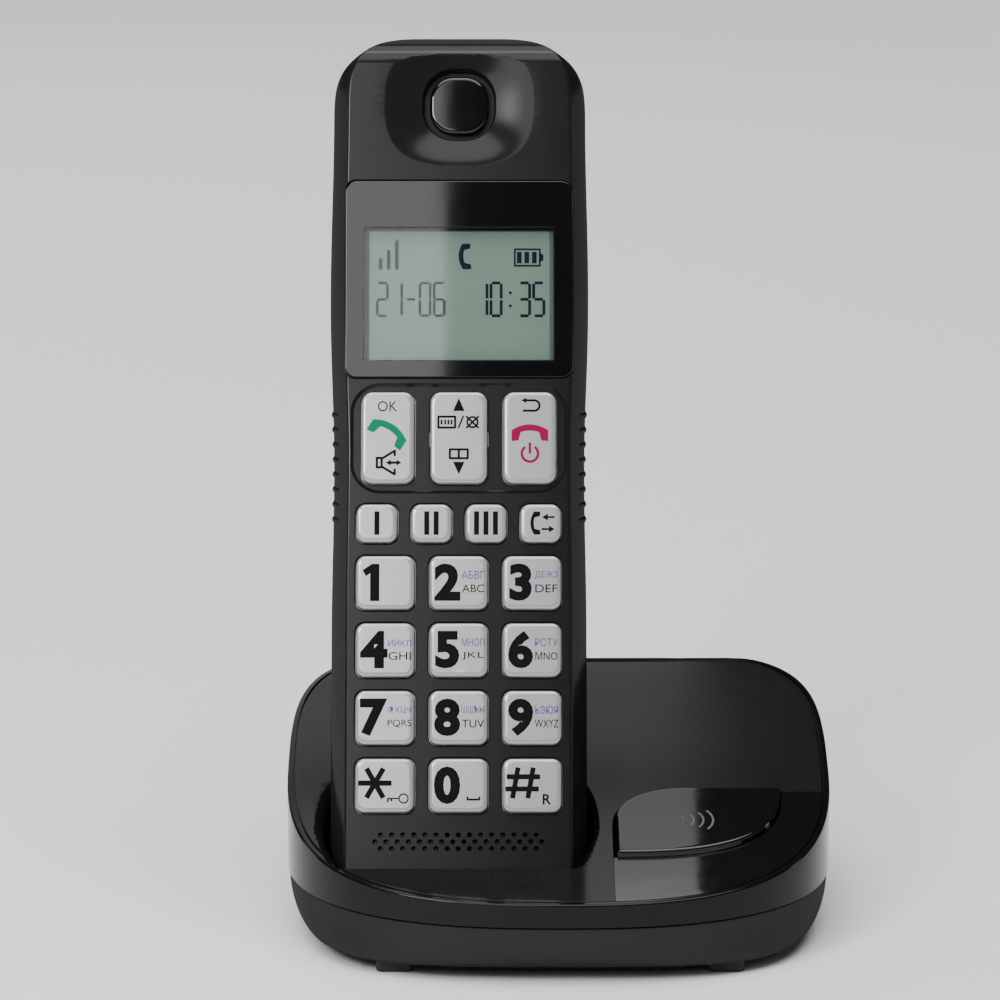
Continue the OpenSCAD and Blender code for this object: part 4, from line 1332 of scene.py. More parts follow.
def segments(sign: str, x: float, z: float, w: float, h: float) -> list[Loop]:
    """A seven-segment sign.

    Args:
        sign: a digit, a dash, a colon or a space.
        x: middle of the cell.
        z: middle of the cell.
        w: width.
        h: height.

    Returns:
        Its strokes.
    """
    lit = {"0": "abcdef", "1": "bc", "2": "abged", "3": "abgcd", "4": "fgbc", "5": "afgcd", "6": "afgecd",
           "7": "abc", "8": "abcdefg", "9": "abfgcd", "-": "g", " ": ""}
    if sign == ":":
        return [disc(x, z + h * 0.2, 0.3, 8), disc(x, z - h * 0.2, 0.3, 8)]
    a, b, g = h / 2, w / 2, 0.18
    ends = {"a": ((-b + g, a), (b - g, a)), "b": ((b, a - g), (b, g)), "c": ((b, -g), (b, -a + g)),
            "d": ((-b + g, -a), (b - g, -a)), "e": ((-b, -g), (-b, -a + g)), "f": ((-b, a - g), (-b, g)),
            "g": ((-b + g, 0), (b - g, 0))}
    loops: list[Loop] = []
    for name in lit[sign]:
        (ax, az), (bx, bz) = ends[name]
        loops += stroke([(x + ax, z + az), (x + bx, z + bz)], 0.54)
    return loops


def receiver(x: float, z: float, size: float, turn: float, weight: float = 0.26) -> list[Loop]:
    """A telephone receiver mark: a curved grip with two pads.

    Args:
        x: its middle.
        z: its middle.
        size: its length.
        turn: its direction in degrees; at 0 its pads point down.
        weight: thickness of the grip as a share of the length.

    Returns:
        Its loops.
    """
    half, rise, thick = size / 2, size * 0.16, size * weight * 0.72
    outer = [(-half + size * i / 16, rise * (1 - (2 * i / 16 - 1) ** 2) + thick / 2) for i in range(17)]
    inner = [(u, v - thick) for u, v in outer if abs(u) < half * 0.62]
    drop = size * 0.13
    loop = outer + [(half, -thick / 2 - drop), (half * 0.62, -thick / 2 - drop + 0.02 * size)]
    loop += list(reversed(inner))
    loop += [(-half * 0.62, -thick / 2 - drop + 0.02 * size), (-half, -thick / 2 - drop)]
    c, s = math.cos(math.radians(turn)), math.sin(math.radians(turn))
    return [[(x + u * c - v * s, z + u * s + v * c) for u, v in loop]]


def arrow(tail: Point2, tip: Point2, width: float, head: float) -> list[Loop]:
    """A pen arrow with a filled head."""
    d = (Vector(tip) - Vector(tail)).normalized()
    n = Vector((-d.y, d.x))
    neck = Vector(tip) - d * head
    return stroke([tail, tuple(neck)], width) + [[tuple(Vector(tip)), tuple(neck + n * head * 0.6),
                                                  tuple(neck - n * head * 0.6)]]


# ---------------------------------------------------------------- keys


class KeyKind(Enum):
    """The families of keys."""

    NUMBER = "number"
    MEMORY = "memory"
    FUNCTION = "function"


@dataclass(frozen=True)
class Legend:
    """What is printed on a key.

    Attributes:
        sign: the large sign.
        latin: the small letters.
        second: the small letters of the second alphabet.
    """

    sign: str
    latin: str = ""
    second: str = ""


# The M on key 6 is the second alphabet's letter of the same shape, because the Latin one fills in.
NUMBER_LEGENDS = {
    "key_1": Legend("1"), "key_2": Legend("2", "ABC", "АБВГ"), "key_3": Legend("3", "DEF", "ДЕЖЗ"),
    "key_4": Legend("4", "GHI", "ИЙКЛ"), "key_5": Legend("5", "JKL", "МНОП"),
    "key_6": Legend("6", "\u041cNO", "РСТУ"), "key_7": Legend("7", "PQRS", "ФХЦЧ"),
    "key_8": Legend("8", "TUV", "ШЩЪЫ"), "key_9": Legend("9", "WXYZ", "ЬЭЮЯ"),
    "key_star": Legend("*"), "key_0": Legend("0"), "key_hash": Legend("#", "R"),
}
MEMORY_NODES = ("key_memory_1", "key_memory_2", "key_memory_3", "key_redial")
FUNCTION_NODES = ("key_talk", "key_navigator", "key_off")
KEY_NODES = (*NUMBER_LEGENDS, *MEMORY_NODES, *FUNCTION_NODES)


def key_kind(node: str) -> KeyKind:
    """The family of a key."""
    if node in NUMBER_LEGENDS:
        return KeyKind.NUMBER
    return KeyKind.MEMORY if node in MEMORY_NODES else KeyKind.FUNCTION


def key_radius(node: str) -> float:
    """The corner radius of a key."""
    return {KeyKind.NUMBER: 1.7, KeyKind.MEMORY: 1.8, KeyKind.FUNCTION: 2.0}[key_kind(node)]


@dataclass
class Keypad:
    """All keys with their legends.

    Attributes:
        handset: the handset they sit in.
    """

    handset: Handset

    def build(self) -> None:
        """Builds every key as one piece on its own body."""
        for node in KEY_NODES:
            self.key(node)

    def key(self, node: str) -> None:
        """One key: a pad with rounded edges and its printing."""
        w, h, x, z = self.handset.cap_size(node)
        low, high = self.handset.space.box(node)
        top = low.y
        r = key_radius(node)
        levels = [(2.2, 0.0), (0.1, 0.0), (top + 0.62, -0.06), (top + 0.4, -0.1), (top + 0.2, -0.22),
                  (top + 0.07, -0.42), (top + 0.02, -0.66), (top, -0.95)]
        pad = prism(lambda g: rounded_loop(w + 2 * g, h + 2 * g, r + g * 0.6, 8), levels)
        flange = prism(lambda g: rounded_loop(w + 1.5,
                                              min(h, high.z - low.z) + (1.5 if node != "key_navigator"
                                                                              else -14), r, 6),
                       [(2.6, 0.0), (2.0, 0.0)])
        made = pad.join(flange)
        for ink, kind in self.printing(node, top):
            made.join(ink, kind)
        made = made.moved(lambda p: p + Vector((x, 0, z)))
        self.handset.space.make(node.replace("key_", "keycap_"), made, [KEY, INK, VIOLET, GREEN, CRIMSON],
                                body=node, stands_for=(node,), slot="key_grey", sharp=55)

    def printing(self, node: str, top: float) -> list[tuple[Shape, int]]:
        """The ink on a key.

        Args:
            node: the key.
            top: its face.

        Returns:
            Shapes and their finish numbers.
        """
        if node in NUMBER_LEGENDS:
            return self.number_ink(node, top)
        if node in MEMORY_NODES:
            return self.memory_ink(node, top)
        return {"key_talk": self.talk_ink, "key_off": self.off_ink,
                "key_navigator": self.navigator_ink}[node](top)

    def number_ink(self, node: str, top: float) -> list[tuple[Shape, int]]:
        """A heavy sign at the left and small letters at the right."""
        legend = NUMBER_LEGENDS[node]
        inks: list[tuple[Shape, int]] = []
        if legend.sign == "*":
            loops: list[Loop] = []
            for a in (0, 60, 120):
                reach = 3.15 if a == 0 else 3.2
                c, s = math.cos(math.radians(a)), math.sin(math.radians(a))
                loops += stroke([(-1.85 - reach * c, 0.45 - reach * s),
                                 (-1.85 + reach * c, 0.45 + reach * s)], 1.0)
            inks.append((printed(loops, top), 1))
            key = stroke(arc(3.55, -2.45, 0.85, 0, 345, 20), 0.26, True)
            key += stroke([(2.7, -2.45), (0.5, -2.45)], 0.26)
            key += stroke([(0.6, -2.45), (0.6, -3.2)], 0.3) + stroke([(1.25, -2.45), (1.25, -3.0)], 0.3)
            inks.append((printed(key, top), 1))
        elif legend.sign == "#":
            loops = []
            for d in (-1.15, 1.15):
                loops += stroke([(-4.9 + 0.1 * d, 0.5 + d), (1.4 + 0.1 * d, 0.5 + d)], 0.95)
                loops += stroke([(-2.25 + d * 1.25, -2.4), (-1.2 + d * 1.25, 3.4)], 0.95)
            inks.append((printed(loops, top), 1))
            inks.append((lettering("R", 2.0, (2.8, -2.6), top, 0.02), 1))
        else:
            if legend.sign == "1":
                one = [(-2.9, -3.55), (-1.15, -3.55), (-1.15, 3.55), (-2.55, 3.55), (-4.35, 2.35),
                       (-3.7, 1.2), (-2.9, 1.75)]
                inks.append((printed([one], top), 1))
            else:
                inks.append((lettering(legend.sign, 7.1, (-2.15, 0.05), top, 0.05, 1.04), 1))
            if legend.sign == "0":
                inks.append((printed(stroke([(1.7, -2.1), (1.7, -2.65), (3.95, -2.65), (3.95, -2.1)],
                                            0.36), top), 1))
        if legend.latin and legend.sign != "#":
            wide = {3: 4.2, 4: 4.5}[len(legend.latin)]
            inks.append((fitted(legend.latin, 1.5, wide, (2.75, -1.15), top), 1))
            inks.append((fitted(legend.second, 1.5, 4.3, (2.75, 1.45), top), 2))
        if legend.sign == "5":
            inks.append((self.dot(top), 0))
        return inks

    @staticmethod
    def dot(top: float) -> Shape:
        """The raised locating bar on the middle key."""
        rings = [[Vector((0.45 + x, top - y, -4.2 + z)) for x, z in rounded_loop(w, d, d / 2, 6)]
                 for y, w, d in ((-0.05, 2.2, 0.6), (0.0, 2.1, 0.55), (0.06, 1.9, 0.35), (0.08, 1.6, 0.12))]
        return Shape().loft(rings)

    @staticmethod
    def memory_ink(node: str, top: float) -> list[tuple[Shape, int]]:
        """Bars that count, or the redial mark."""
        if node == "key_redial":
            loops = receiver(-0.9, 0.0, 4.4, 90, 0.2)
            loops += arrow((2.7, 1.15), (0.3, 1.15), 0.36, 1.1) + arrow((0.2, -1.15), (2.7, -1.15), 0.36,
                                                                        1.1)
            return [(printed(loops, top), 1)]
        count = int(node[-1])
        pitch = 1.8
        loops = [[(x - 0.48, -2.25), (x + 0.48, -2.25), (x + 0.48, 2.25), (x - 0.48, 2.25)]
                 for x in ((i - (count - 1) / 2) * pitch for i in range(count))]
        return [(printed(loops, top), 1)]

    @staticmethod
    def talk_ink(top: float) -> list[tuple[Shape, int]]:
        """OK, a green receiver and a speaker."""
        black = stroke([(-2.1, -5.75), (-2.1, -3.95), (-1.2, -3.95), (-1.2, -5.75)], 0.46, True)
        black += stroke([(-1.2, -4.1), (1.3, -2.55), (1.3, -3.6)], 0.46)
        black += stroke([(-1.2, -5.6), (1.3, -7.1), (1.3, -6.0)], 0.46)
        black += arrow((0.8, -4.85), (2.6, -4.85), 0.46, 0.95) + arrow((1.2, -4.85), (-0.4, -4.85), 0.46,
                                                                       0.95)
        return [(fitted("OK", 2.0, 3.7, (-0.1, 6.0), top), 1),
                (printed(receiver(0.0, 0.9, 7.6, -33, 0.24), top), 3), (printed(black, top), 1)]

    @staticmethod
    def navigator_ink(top: float) -> list[tuple[Shape, int]]:
        """Arrows up and down, a list mark and a book mark."""
        loops: list[Loop] = [[(-1.1, 5.1), (1.1, 5.1), (0.0, 7.6)], [(1.1, -4.7), (-1.1, -4.7), (0.0, -7.1)]]
        loops += stroke([(-3.9, 1.9), (-0.7, 1.9), (-0.7, 4.0), (-3.9, 4.0)], 0.42, True)
        loops += stroke([(-3.3, 2.5), (-3.3, 3.4)], 0.36) + stroke([(-2.6, 2.5), (-2.6, 3.4)], 0.36)
        loops += stroke([(-2.0, 2.5), (-2.0, 3.4)], 0.36) + stroke([(-1.4, 2.5), (-1.4, 3.4)], 0.36)
        loops += stroke([(-0.1, 1.8), (0.9, 4.2)], 0.32)
        loops += stroke(arc(2.6, 2.95, 1.0, 0, 345, 18), 0.36, True)
        loops += stroke([(1.4, 1.8), (3.8, 4.1)], 0.36) + stroke([(1.4, 4.1), (3.8, 1.8)], 0.36)
        loops += stroke([(-1.7, -4.0), (1.7, -4.0), (1.7, -2.3), (-1.7, -2.3)], 0.42, True)
        loops += stroke([(0.0, -4.0), (0.0, -2.3)], 0.42)
        return [(printed(loops, top), 1)]

    @staticmethod
    def off_ink(top: float) -> list[tuple[Shape, int]]:
        """A return arrow, a crimson receiver that lies down and a power mark."""
        black = stroke([(-1.3, 5.15), (0.9, 5.15)] + arc(0.9, 6.15, 1.0, -90, 90, 10) + [(-0.6, 7.15)], 0.42)
        black.append([(-1.6, 7.15), (-0.6, 7.65), (-0.6, 6.65)])
        power = stroke(arc(0.05, -3.1, 1.55, 125, 415, 26), 0.5)
        power += stroke([(0.05, -1.0), (0.05, -3.1)], 0.5)
        red = receiver(0.05, 0.8, 7.0, 0, 0.24)
        return [(printed(black, top), 1), (printed(red + power, top), 4)]


def fitted(text: str, height: float, width: float, centre: Point2, face_y: float) -> Shape:
    """Lettering squeezed to a width."""
    plain = lettering(text, height, centre, face_y)
    xs = [p.x for p in plain.points]
    share = width / (max(xs) - min(xs))
    return plain.moved(lambda p: Vector((centre[0] + (p.x - centre[0]) * share, p.y, p.z)))


# ---------------------------------------------------------------- base


@dataclass
class BaseForm:
    """The base's outer form, in millimetres in the row's frame.

    Attributes:
        width: overall width.
        depth: overall depth.
        front_h: height of the front rim.
        rear_h: height of the crest.
        parting: height of the line between the shells.
        foot: height of the feet.
    """

    width: float
    depth: float
    front_h: float
    rear_h: float
    parting: float
    foot: float
    front_power: float = 2.5
    back_power: float = 3.4
    count: int = 320

    def plan(self, inset: float = 0.0, low: float = 0.0) -> Loop:
        """The outline from above.

        Args:
            inset: how far it is moved inwards along its normals.
            low: 0 at the parting line and 1 at the bottom, where it is smaller and squarer.

        Returns:
            Evenly spaced points.
        """
        loop: Loop = []
        n = self.count
        w, d = self.width / 2 - 5.5 * low, self.depth / 2 - 4.1 * low
        for i in range(n):
            a = 2 * math.pi * i / n
            c, s = math.cos(a), math.sin(a)
            p = self.back_power + 0.6 * low if s > 0 else self.front_power + 1.5 * low
            loop.append((math.copysign(w * abs(c) ** (2 / p), c), math.copysign(d * abs(s) ** (2 / p), s)))
        even = respaced(loop, n)
        return grown(even, -inset) if inset else even

    def top(self, x: float, y: float) -> float:
        """Height of the top surface."""
        crest = self.depth / 2 - 5
        t = max(0.0, min(1.0, (y + self.depth / 2) / (crest + self.depth / 2)))
        z = self.front_h + (self.rear_h - self.front_h) * (0.4 * t + 0.6 * (3 * t * t - 2 * t * t * t))
        side = self.shoulder(abs(x) - self.width / 2 + 16, 16.0, 11.0, 3.2)
        rear = self.shoulder(y - self.depth / 2 + 9, 9.0, 8.0, 2.2)
        return soft_min(soft_min(z, side, 1.2), rear, 1.2)

    def shoulder(self, u: float, run: float, drop: float, power: float) -> float:
        """Height of a rounded shoulder at a distance past its start."""
        if u <= 0:
            return self.rear_h + 0.6
        u = min(1.0, u / run)
        return self.rear_h + 0.6 - drop + drop * (1 - u ** power) ** (1 / power)


def soft_min(a: float, b: float, blend: float) -> float:
    """The smaller of two heights, rounded where they meet."""
    h = max(0.0, blend - abs(a - b)) / blend
    return min(a, b) - h * h * blend / 4


def respaced(loop: Loop, n: int) -> Loop:
    """The same closed loop with n points evenly along it."""
    lengths = [0.0]
    for (ax, ay), (bx, by) in zip(loop, loop[1:] + loop[:1]):
        lengths.append(lengths[-1] + math.hypot(bx - ax, by - ay))
    out: Loop = []
    k = 0
    for i in range(n):
        want = lengths[-1] * i / n
        while lengths[k + 1] < want:
            k += 1
        t = (want - lengths[k]) / max(1e-9, lengths[k + 1] - lengths[k])
        (ax, ay), (bx, by) = loop[k], loop[(k + 1) % len(loop)]
        out.append((ax + (bx - ax) * t, ay + (by - ay) * t))
    return out


@dataclass
class Base:
    """The charging base's shells, panel, button and feet.

    Attributes:
        space: the base's frame.
        form: its outer form.
        handset: the handset that stands in it.
    """

    space: LocalFrame
    form: BaseForm
    handset: Handset

    @classmethod
    def from_frame(cls, handset: Handset) -> "Base":
        """Reads the base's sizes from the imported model."""
        space = LocalFrame(Matrix.Scale(MM, 4), "base", handset.space.nodes)
        low, high = space.box("base_upper_shell")
        lower = space.box("base_lower_shell")
        front = max(p.z for p in space.points("base_upper_shell") if p.y < low.y + 0.6)
        form = BaseForm(width=high.x - low.x, depth=high.y - low.y, front_h=front, rear_h=high.z - 0.1,
                        parting=lower[1].z, foot=lower[0].z)
        return cls(space, form, handset)

    def build(self) -> None:
        """Builds every piece of the base."""
        self.upper()
        self.lower()
        self.button()
        self.feet()
        for node, finish in {
            "locator_switch": TIN, "base_pcb": BOARD, "base_shield": TIN, "line_jack": INNER,
            "power_jack": INNER, "base_screws": STEEL, "charge_contact_left": NICKEL,
            "charge_contact_right": NICKEL,
        }.items():
            self.space.dress(node, finish)

    def skin(self, lift: float, steps: list[tuple[float, float, int]], bottom: float,
             keel: float = 0.0) -> Shape:
        """The closed body under the top surface.

        Args:
            lift: how far the top surface is moved up.
            steps: inset, extra height and finish of the rings near the edge.
            bottom: height of the underside.
            keel: inset of the underside.

        Returns:
            The body.
        """
        rings = [[Vector((x, y, bottom)) for x, y in self.form.plan(keel)]]
        kinds = [0]
        for inset, extra, kind in steps:
            rings.append([Vector((x, y, self.form.top(x, y) + lift + extra)) for x,
                          y in self.form.plan(inset)])
            kinds.append(kind)
        inner = self.form.plan(steps[-1][0])
        for i in range(1, 56):
            t = i / 56
            share = 1 - t
            rings.append([Vector((x * share, y * share, self.form.top(x * share, y * share) + lift))
                          for x, y in inner])
            kinds.append(kinds[-1])
        return Shape().loft(rings, kinds=lambda level: kinds[min(level, len(kinds) - 1)])

    def pocket(self, gap: float) -> Shape:
        """The space of the handset's lower end, grown by a gap and drawn upwards."""
        form, matrix = self.handset.form, self.handset.space.matrix
        to_base = self.space.matrix.inverted() @ matrix
        zs = [-0.3, 0.2, 0.7, 1.3, 2.0, 3.0, 4.2, 5.6, 7.2, 9.0, 11.0, 14, 18, 24, 31, 38, 46, 60]
        rings = []
        for z in zs:
            ring = form.ring(max(0.02, z), 0.0)
            middle = Vector((0, sum(p.y for p in ring) / len(ring), 0))
            wide = []
            for i, p in enumerate(ring):
                a, b = ring[i - 1], ring[(i + 1) % len(ring)]
                n = Vector((b.y - a.y, a.x - b.x, 0))
                if n.length < 1e-6:
                    n = p - middle
                n.normalize()
                if n.dot(p - middle) < 0:
                    n = -n
                wide.append(to_base @ Vector((p.x + n.x * gap, p.y + n.y * gap, z)))
            rings.append(wide)
        return Shape().loft(rings)

    def flare(self) -> Shape:
        """The rounded lip of the pocket, wide at its sides, as a cutting tool that follows the top surface."""
        form, matrix = self.handset.form, self.handset.space.matrix
        to_base = self.space.matrix.inverted() @ matrix

        def point(i: int, z: float, gap: float) -> Vector:
            """The point at a height along one generator of the handset, moved outwards by gap."""
            ring = form.ring(max(0.02, z), 0.0)
            a, b = ring[i - 2], ring[(i + 2) % len(ring)]
            n = Vector((b.y - a.y, a.x - b.x, 0)).normalized()
            if n.dot(ring[i] - Vector((0, 12, 0))) < 0:
                n = -n
            side = 0.5 * (1 + abs(n.x) * n.x) if n.x > 0 else 0.5 + 1.1 * n.x * n.x
            wide = 0.9 + (gap - 0.9) * side
            return to_base @ Vector((ring[i].x + n.x * wide, ring[i].y + n.y * wide, z))

        count = len(form.ring(20.0, 0.0))
        rings = []
        for gap, height in ((0.9, -3.4), (0.92, -2.2), (1.02, -1.35), (1.2, -0.8), (1.5, -0.38),
                            (1.9, -0.12), (2.4, 0.0), (3.0, 0.14), (3.2, 3.0)):
            ring = []
            for i in range(count):
                a, b = -10.0, 70.0
                for _ in range(16):
                    z = (a + b) / 2
                    p = point(i, z, gap)
                    if p.z < self.form.top(p.x, p.y) + height:
                        a = z
                    else:
                        b = z
                ring.append(point(i, (a + b) / 2, gap))
            rings.append(ring)
        return Shape().loft(rings)

    def panel_loop(self) -> Loop:
        """Outline of the polished panel from above; it stops at the button's shoulder."""
        low, high = self.space.box("glossy_panel")
        button = self.button_loop()
        left, right = min(p[0] for p in button), max(p[0] for p in button)
        front, back = min(p[1] for p in button), max(p[1] for p in button)
        edge = [(x, y) for x, y in self.form.plan(1.35) if x > low.x and y < high.y]
        edge.sort(key=lambda p: math.atan2(p[1] - high.y + 1, p[0] - low.x - 1))
        shoulder = [(left + (right - left) * 0.45, high.y), (low.x, back - (back - front) * 0.48)]
        return shoulder + [(low.x, min(p[1] for p in edge if p[0] < low.x + 2))] + edge + \
            [(max(p[0] for p in edge), high.y)]

    def button_loop(self, grow: float = 0.0, left: float = 0.0) -> Loop:
        """Outline of the locator button from above: a square corner, a rounded shoulder and a long sweep.

        Args:
            grow: how far it is moved outwards.
            left: how far its left side is moved inwards.

        Returns:
            Its points.
        """
        low, high = self.space.box("locator_button")
        flange = 0.7
        x0, x1, y0, y1 = low.x + flange + left, high.x - flange, low.y + flange, high.y - flange
        w, d = x1 - x0, y1 - y0
        sweep = [(x0 + x, y1 - y) for x, y in reversed(power_quarter(w, d, 2.6, 30))]
        shoulder = [(x0 + w * 0.45 - x, y1 - d * 0.48 + y) for x,
                    y in power_quarter(w * 0.45, d * 0.48, 2.2, 16)]
        loop = sweep + list(reversed(shoulder))
        tidy = [p for p, q in zip(loop, loop[-1:] + loop[:-1]) if math.hypot(p[0] - q[0],
                                                                             p[1] - q[1]) > 0.02]
        return grown(respaced_open(tidy), grow) if grow else respaced_open(tidy)

    def upper(self) -> None:
        """The upper shell, with the handset's pocket, the rim and the panel's recess."""
        rim = [(0.0, -2.0, 0), (0.0, -0.42, 0), (0.06, -0.22, 0), (0.2, -0.07, 0), (0.42, 0.0, 0),
               (1.12, 0.0, 0),
               (1.16, -0.45, 0), (1.5, -0.45, 1), (1.54, -0.06, 1), (1.66, 0.0, 1), (2.6, 0.0, 1),
               (4.0, 0.0, 1),
               (6.0, 0.0, 1), (8.5, 0.0, 1), (11.0, 0.0, 1)]
        body = self.skin(0.0, rim, self.form.parting + 0.12)
        panel = self.panel_tool(0.1, 1.4, 3.0)
        button = self.button_tool(0.25)
        jacks = Shape()
        low, high = self.space.box("line_jack")
        x, z = (low.x + high.x) / 2, low.z + 6.4
        back = self.form.depth / 2
        jacks.join(block((x - 5.3, low.y - 0.4, z - 3.7), (x + 5.3, back + 2, z + 3.7)))
        low, high = self.space.box("power_jack")
        px = (low.x + high.x) / 2
        rings = [[Vector((px + a, y, z + b)) for a, b in disc(0, 0, 3.8, 28)] for y in (low.y - 0.4,
                                                                                        back + 2)]
        jacks.join(Shape().loft(rings))
        self.space.make("upper_shell", body, [BAND, UPPER, INNER], stands_for=("base_upper_shell",),
                        slot="satin_black",
                        carve=(self.pocket(0.9), self.flare(), panel.join(jacks), button), sharp=30)
        slab = self.skin(0.0, [(0.0, 0.0, 0), (3.0, 0.0, 0), (8.0, 0.0, 0)], self.form.parting + 1)
        low_cut = self.skin(-1.2, [(0.0, 0.0, 0), (3.0, 0.0, 0), (8.0, 0.0, 0)], self.form.parting - 4)
        self.space.make("panel_plate", slab, [GLOSS], stands_for=("glossy_panel",), slot="gloss_black",
                        keep=self.panel_tool(0.0, 30, 30), carve=(low_cut, self.button_tool(0.25)), sharp=30)

    def panel_tool(self, grow: float, down: float, up: float) -> Shape:
        """A tool in the panel's outline, from a depth below the top surface to a height above it."""
        loop = grown(self.panel_loop(), grow)
        dense = respaced(loop, 220)
        rings = [[Vector((x, y, self.form.top(x, y) + d)) for x, y in dense] for d in (-down, up)]
        return Shape().loft(rings)

    def button_tool(self, grow: float) -> Shape:
        """A tool in the button's outline."""
        loop = self.button_loop(grow)
        rings = [[Vector((x, y, z)) for x, y in loop] for z in (self.form.parting + 1.5,
                                                                self.form.rear_h + 20)]
        return Shape().loft(rings)

    def button(self) -> None:
        """The polished locator button with its rounded edge and its wave mark."""
        low, high = self.space.box("locator_button")
        proud = 1.2
        loop = self.button_loop(0.0, 0.5)
        cx = sum(p[0] for p in loop) / len(loop)
        cy = sum(p[1] for p in loop) / len(loop)
        rings = []
        for inset, height in ((0.0, -3.0), (0.0, proud - 0.5), (0.05, proud - 0.28), (0.16, proud - 0.12),
                              (0.32, proud - 0.03), (0.52, proud)):
            rings.append([Vector((x, y, self.form.top(x, y) + height)) for x, y in grown(loop, -inset)])
        inner = grown(loop, -0.52)
        for i in range(1, 24):
            s = 1 - i / 24
            pts = [(cx + (x - cx) * s, cy + (y - cy) * s) for x, y in inner]
            rings.append([Vector((x, y, self.form.top(x, y) + proud)) for x, y in pts])
        made = Shape().loft(rings)
        mark = Shape()
        x0, y0 = cx - 3.3, cy - 1.2
        for i in range(4):
            r = 1.3 + 0.85 * i
            for loop_part in stroke(arc(x0 + i * 1.0, y0, r, -46, 46, 8), 0.4):
                top = [Vector((x, y, self.form.top(x, y) + proud + 0.03)) for x, y in loop_part]
                below = [Vector((x, y, self.form.top(x, y) + proud - 0.05)) for x, y in loop_part]
                mark.join(Shape().loft([below, top]))
        made.join(mark, 1)
        self.space.make("locator_button_cap", made, [GLOSS, PALE_MARK], body="locator_button",
                        stands_for=("locator_button",), slot="gloss_black", sharp=50)

    def lower(self) -> None:
        """The lower shell: a tray that draws in towards the table, with keyholes and screw wells."""
        form = self.form
        z1 = form.parting - 0.12
        rings = [[Vector((x, y, form.foot)) for x, y in form.plan(inset, 1.0)] for inset in (6.0, 2.0, 0.4)]
        tall = z1 - 0.3 - form.foot
        for i in range(1, 19):
            t = i / 18
            rings.append([Vector((x, y, form.foot + tall * t ** 1.5)) for x, y in
                          form.plan(0.3, 1 - (1 - (1 - t ** 1.5) ** 2.3) ** (1 / 2.3))])
        rings += [[Vector((x, y, z)) for x, y in form.plan(inset)] for inset,
                  z in ((0.36, z1 - 0.1), (0.55, z1))]
        body = Shape().loft(rings)
        tools = Shape()
        for side in (-1, 1):
            hole = disc(side * 25, 18, 4.2, 32)
            tools.join(Shape().loft([[Vector((x, y, z)) for x, y in hole] for z in (-2, form.foot + 2.0)]))
        screws = self.space.box("base_screws")
        wells = Shape()
        for x, y in ((screws[1].x - 2.5, screws[1].y - 2.5), (screws[0].x + 2.5, screws[1].y - 2.5),
                     (self.space.box("glossy_panel")[0].x + 6, screws[0].y + 2.5)):
            wells.join(Shape().loft([[Vector((px, py, z)) for px, py in disc(x, y, 2.9, 28)]
                                     for z in (-2, form.foot + 2.5)]))
        for side in (-1, 1):
            wells.join(block((side * 25 - 2, 18, -2), (side * 25 + 2, 27, form.foot + 1.9)))
        self.space.make("lower_shell", body, [LOWER], stands_for=("base_lower_shell",), slot="satin_black",
                        carve=(tools, wells), sharp=30)

    def feet(self) -> None:
        """Moulded feet with softened edges."""
        low, high = self.space.box("base_feet")
        made = Shape()
        for sx in (-1, 1):
            for y in (low.y + 2, high.y - 2):
                x = sx * (high.x - 3.5)
                rings = [[Vector((x + a, y + b, z)) for a, b in rounded_loop(w, d, 0.8, 5)]
                         for z, w, d in ((0.0, 6.2, 3.2), (0.12, 6.5, 3.5), (0.5, 6.8, 3.8),
                                         (high.z, 7.0, 4.0))]
                made.join(Shape().loft(rings))
        self.space.make("rubber_feet", made, [FOOT], stands_for=("base_feet",), slot="dark_rubber", sharp=50)


def respaced_open(loop: Loop) -> Loop:
    """A closed loop with its long stretches cut into short ones, its corners kept."""
    out: Loop = []
    for (ax, ay), (bx, by) in zip(loop, loop[1:] + loop[:1]):
        steps = max(1, int(math.hypot(bx - ax, by - ay) / 0.9))
        out.extend((ax + (bx - ax) * k / steps, ay + (by - ay) * k / steps) for k in range(steps))
    return out


# ---------------------------------------------------------------- studio


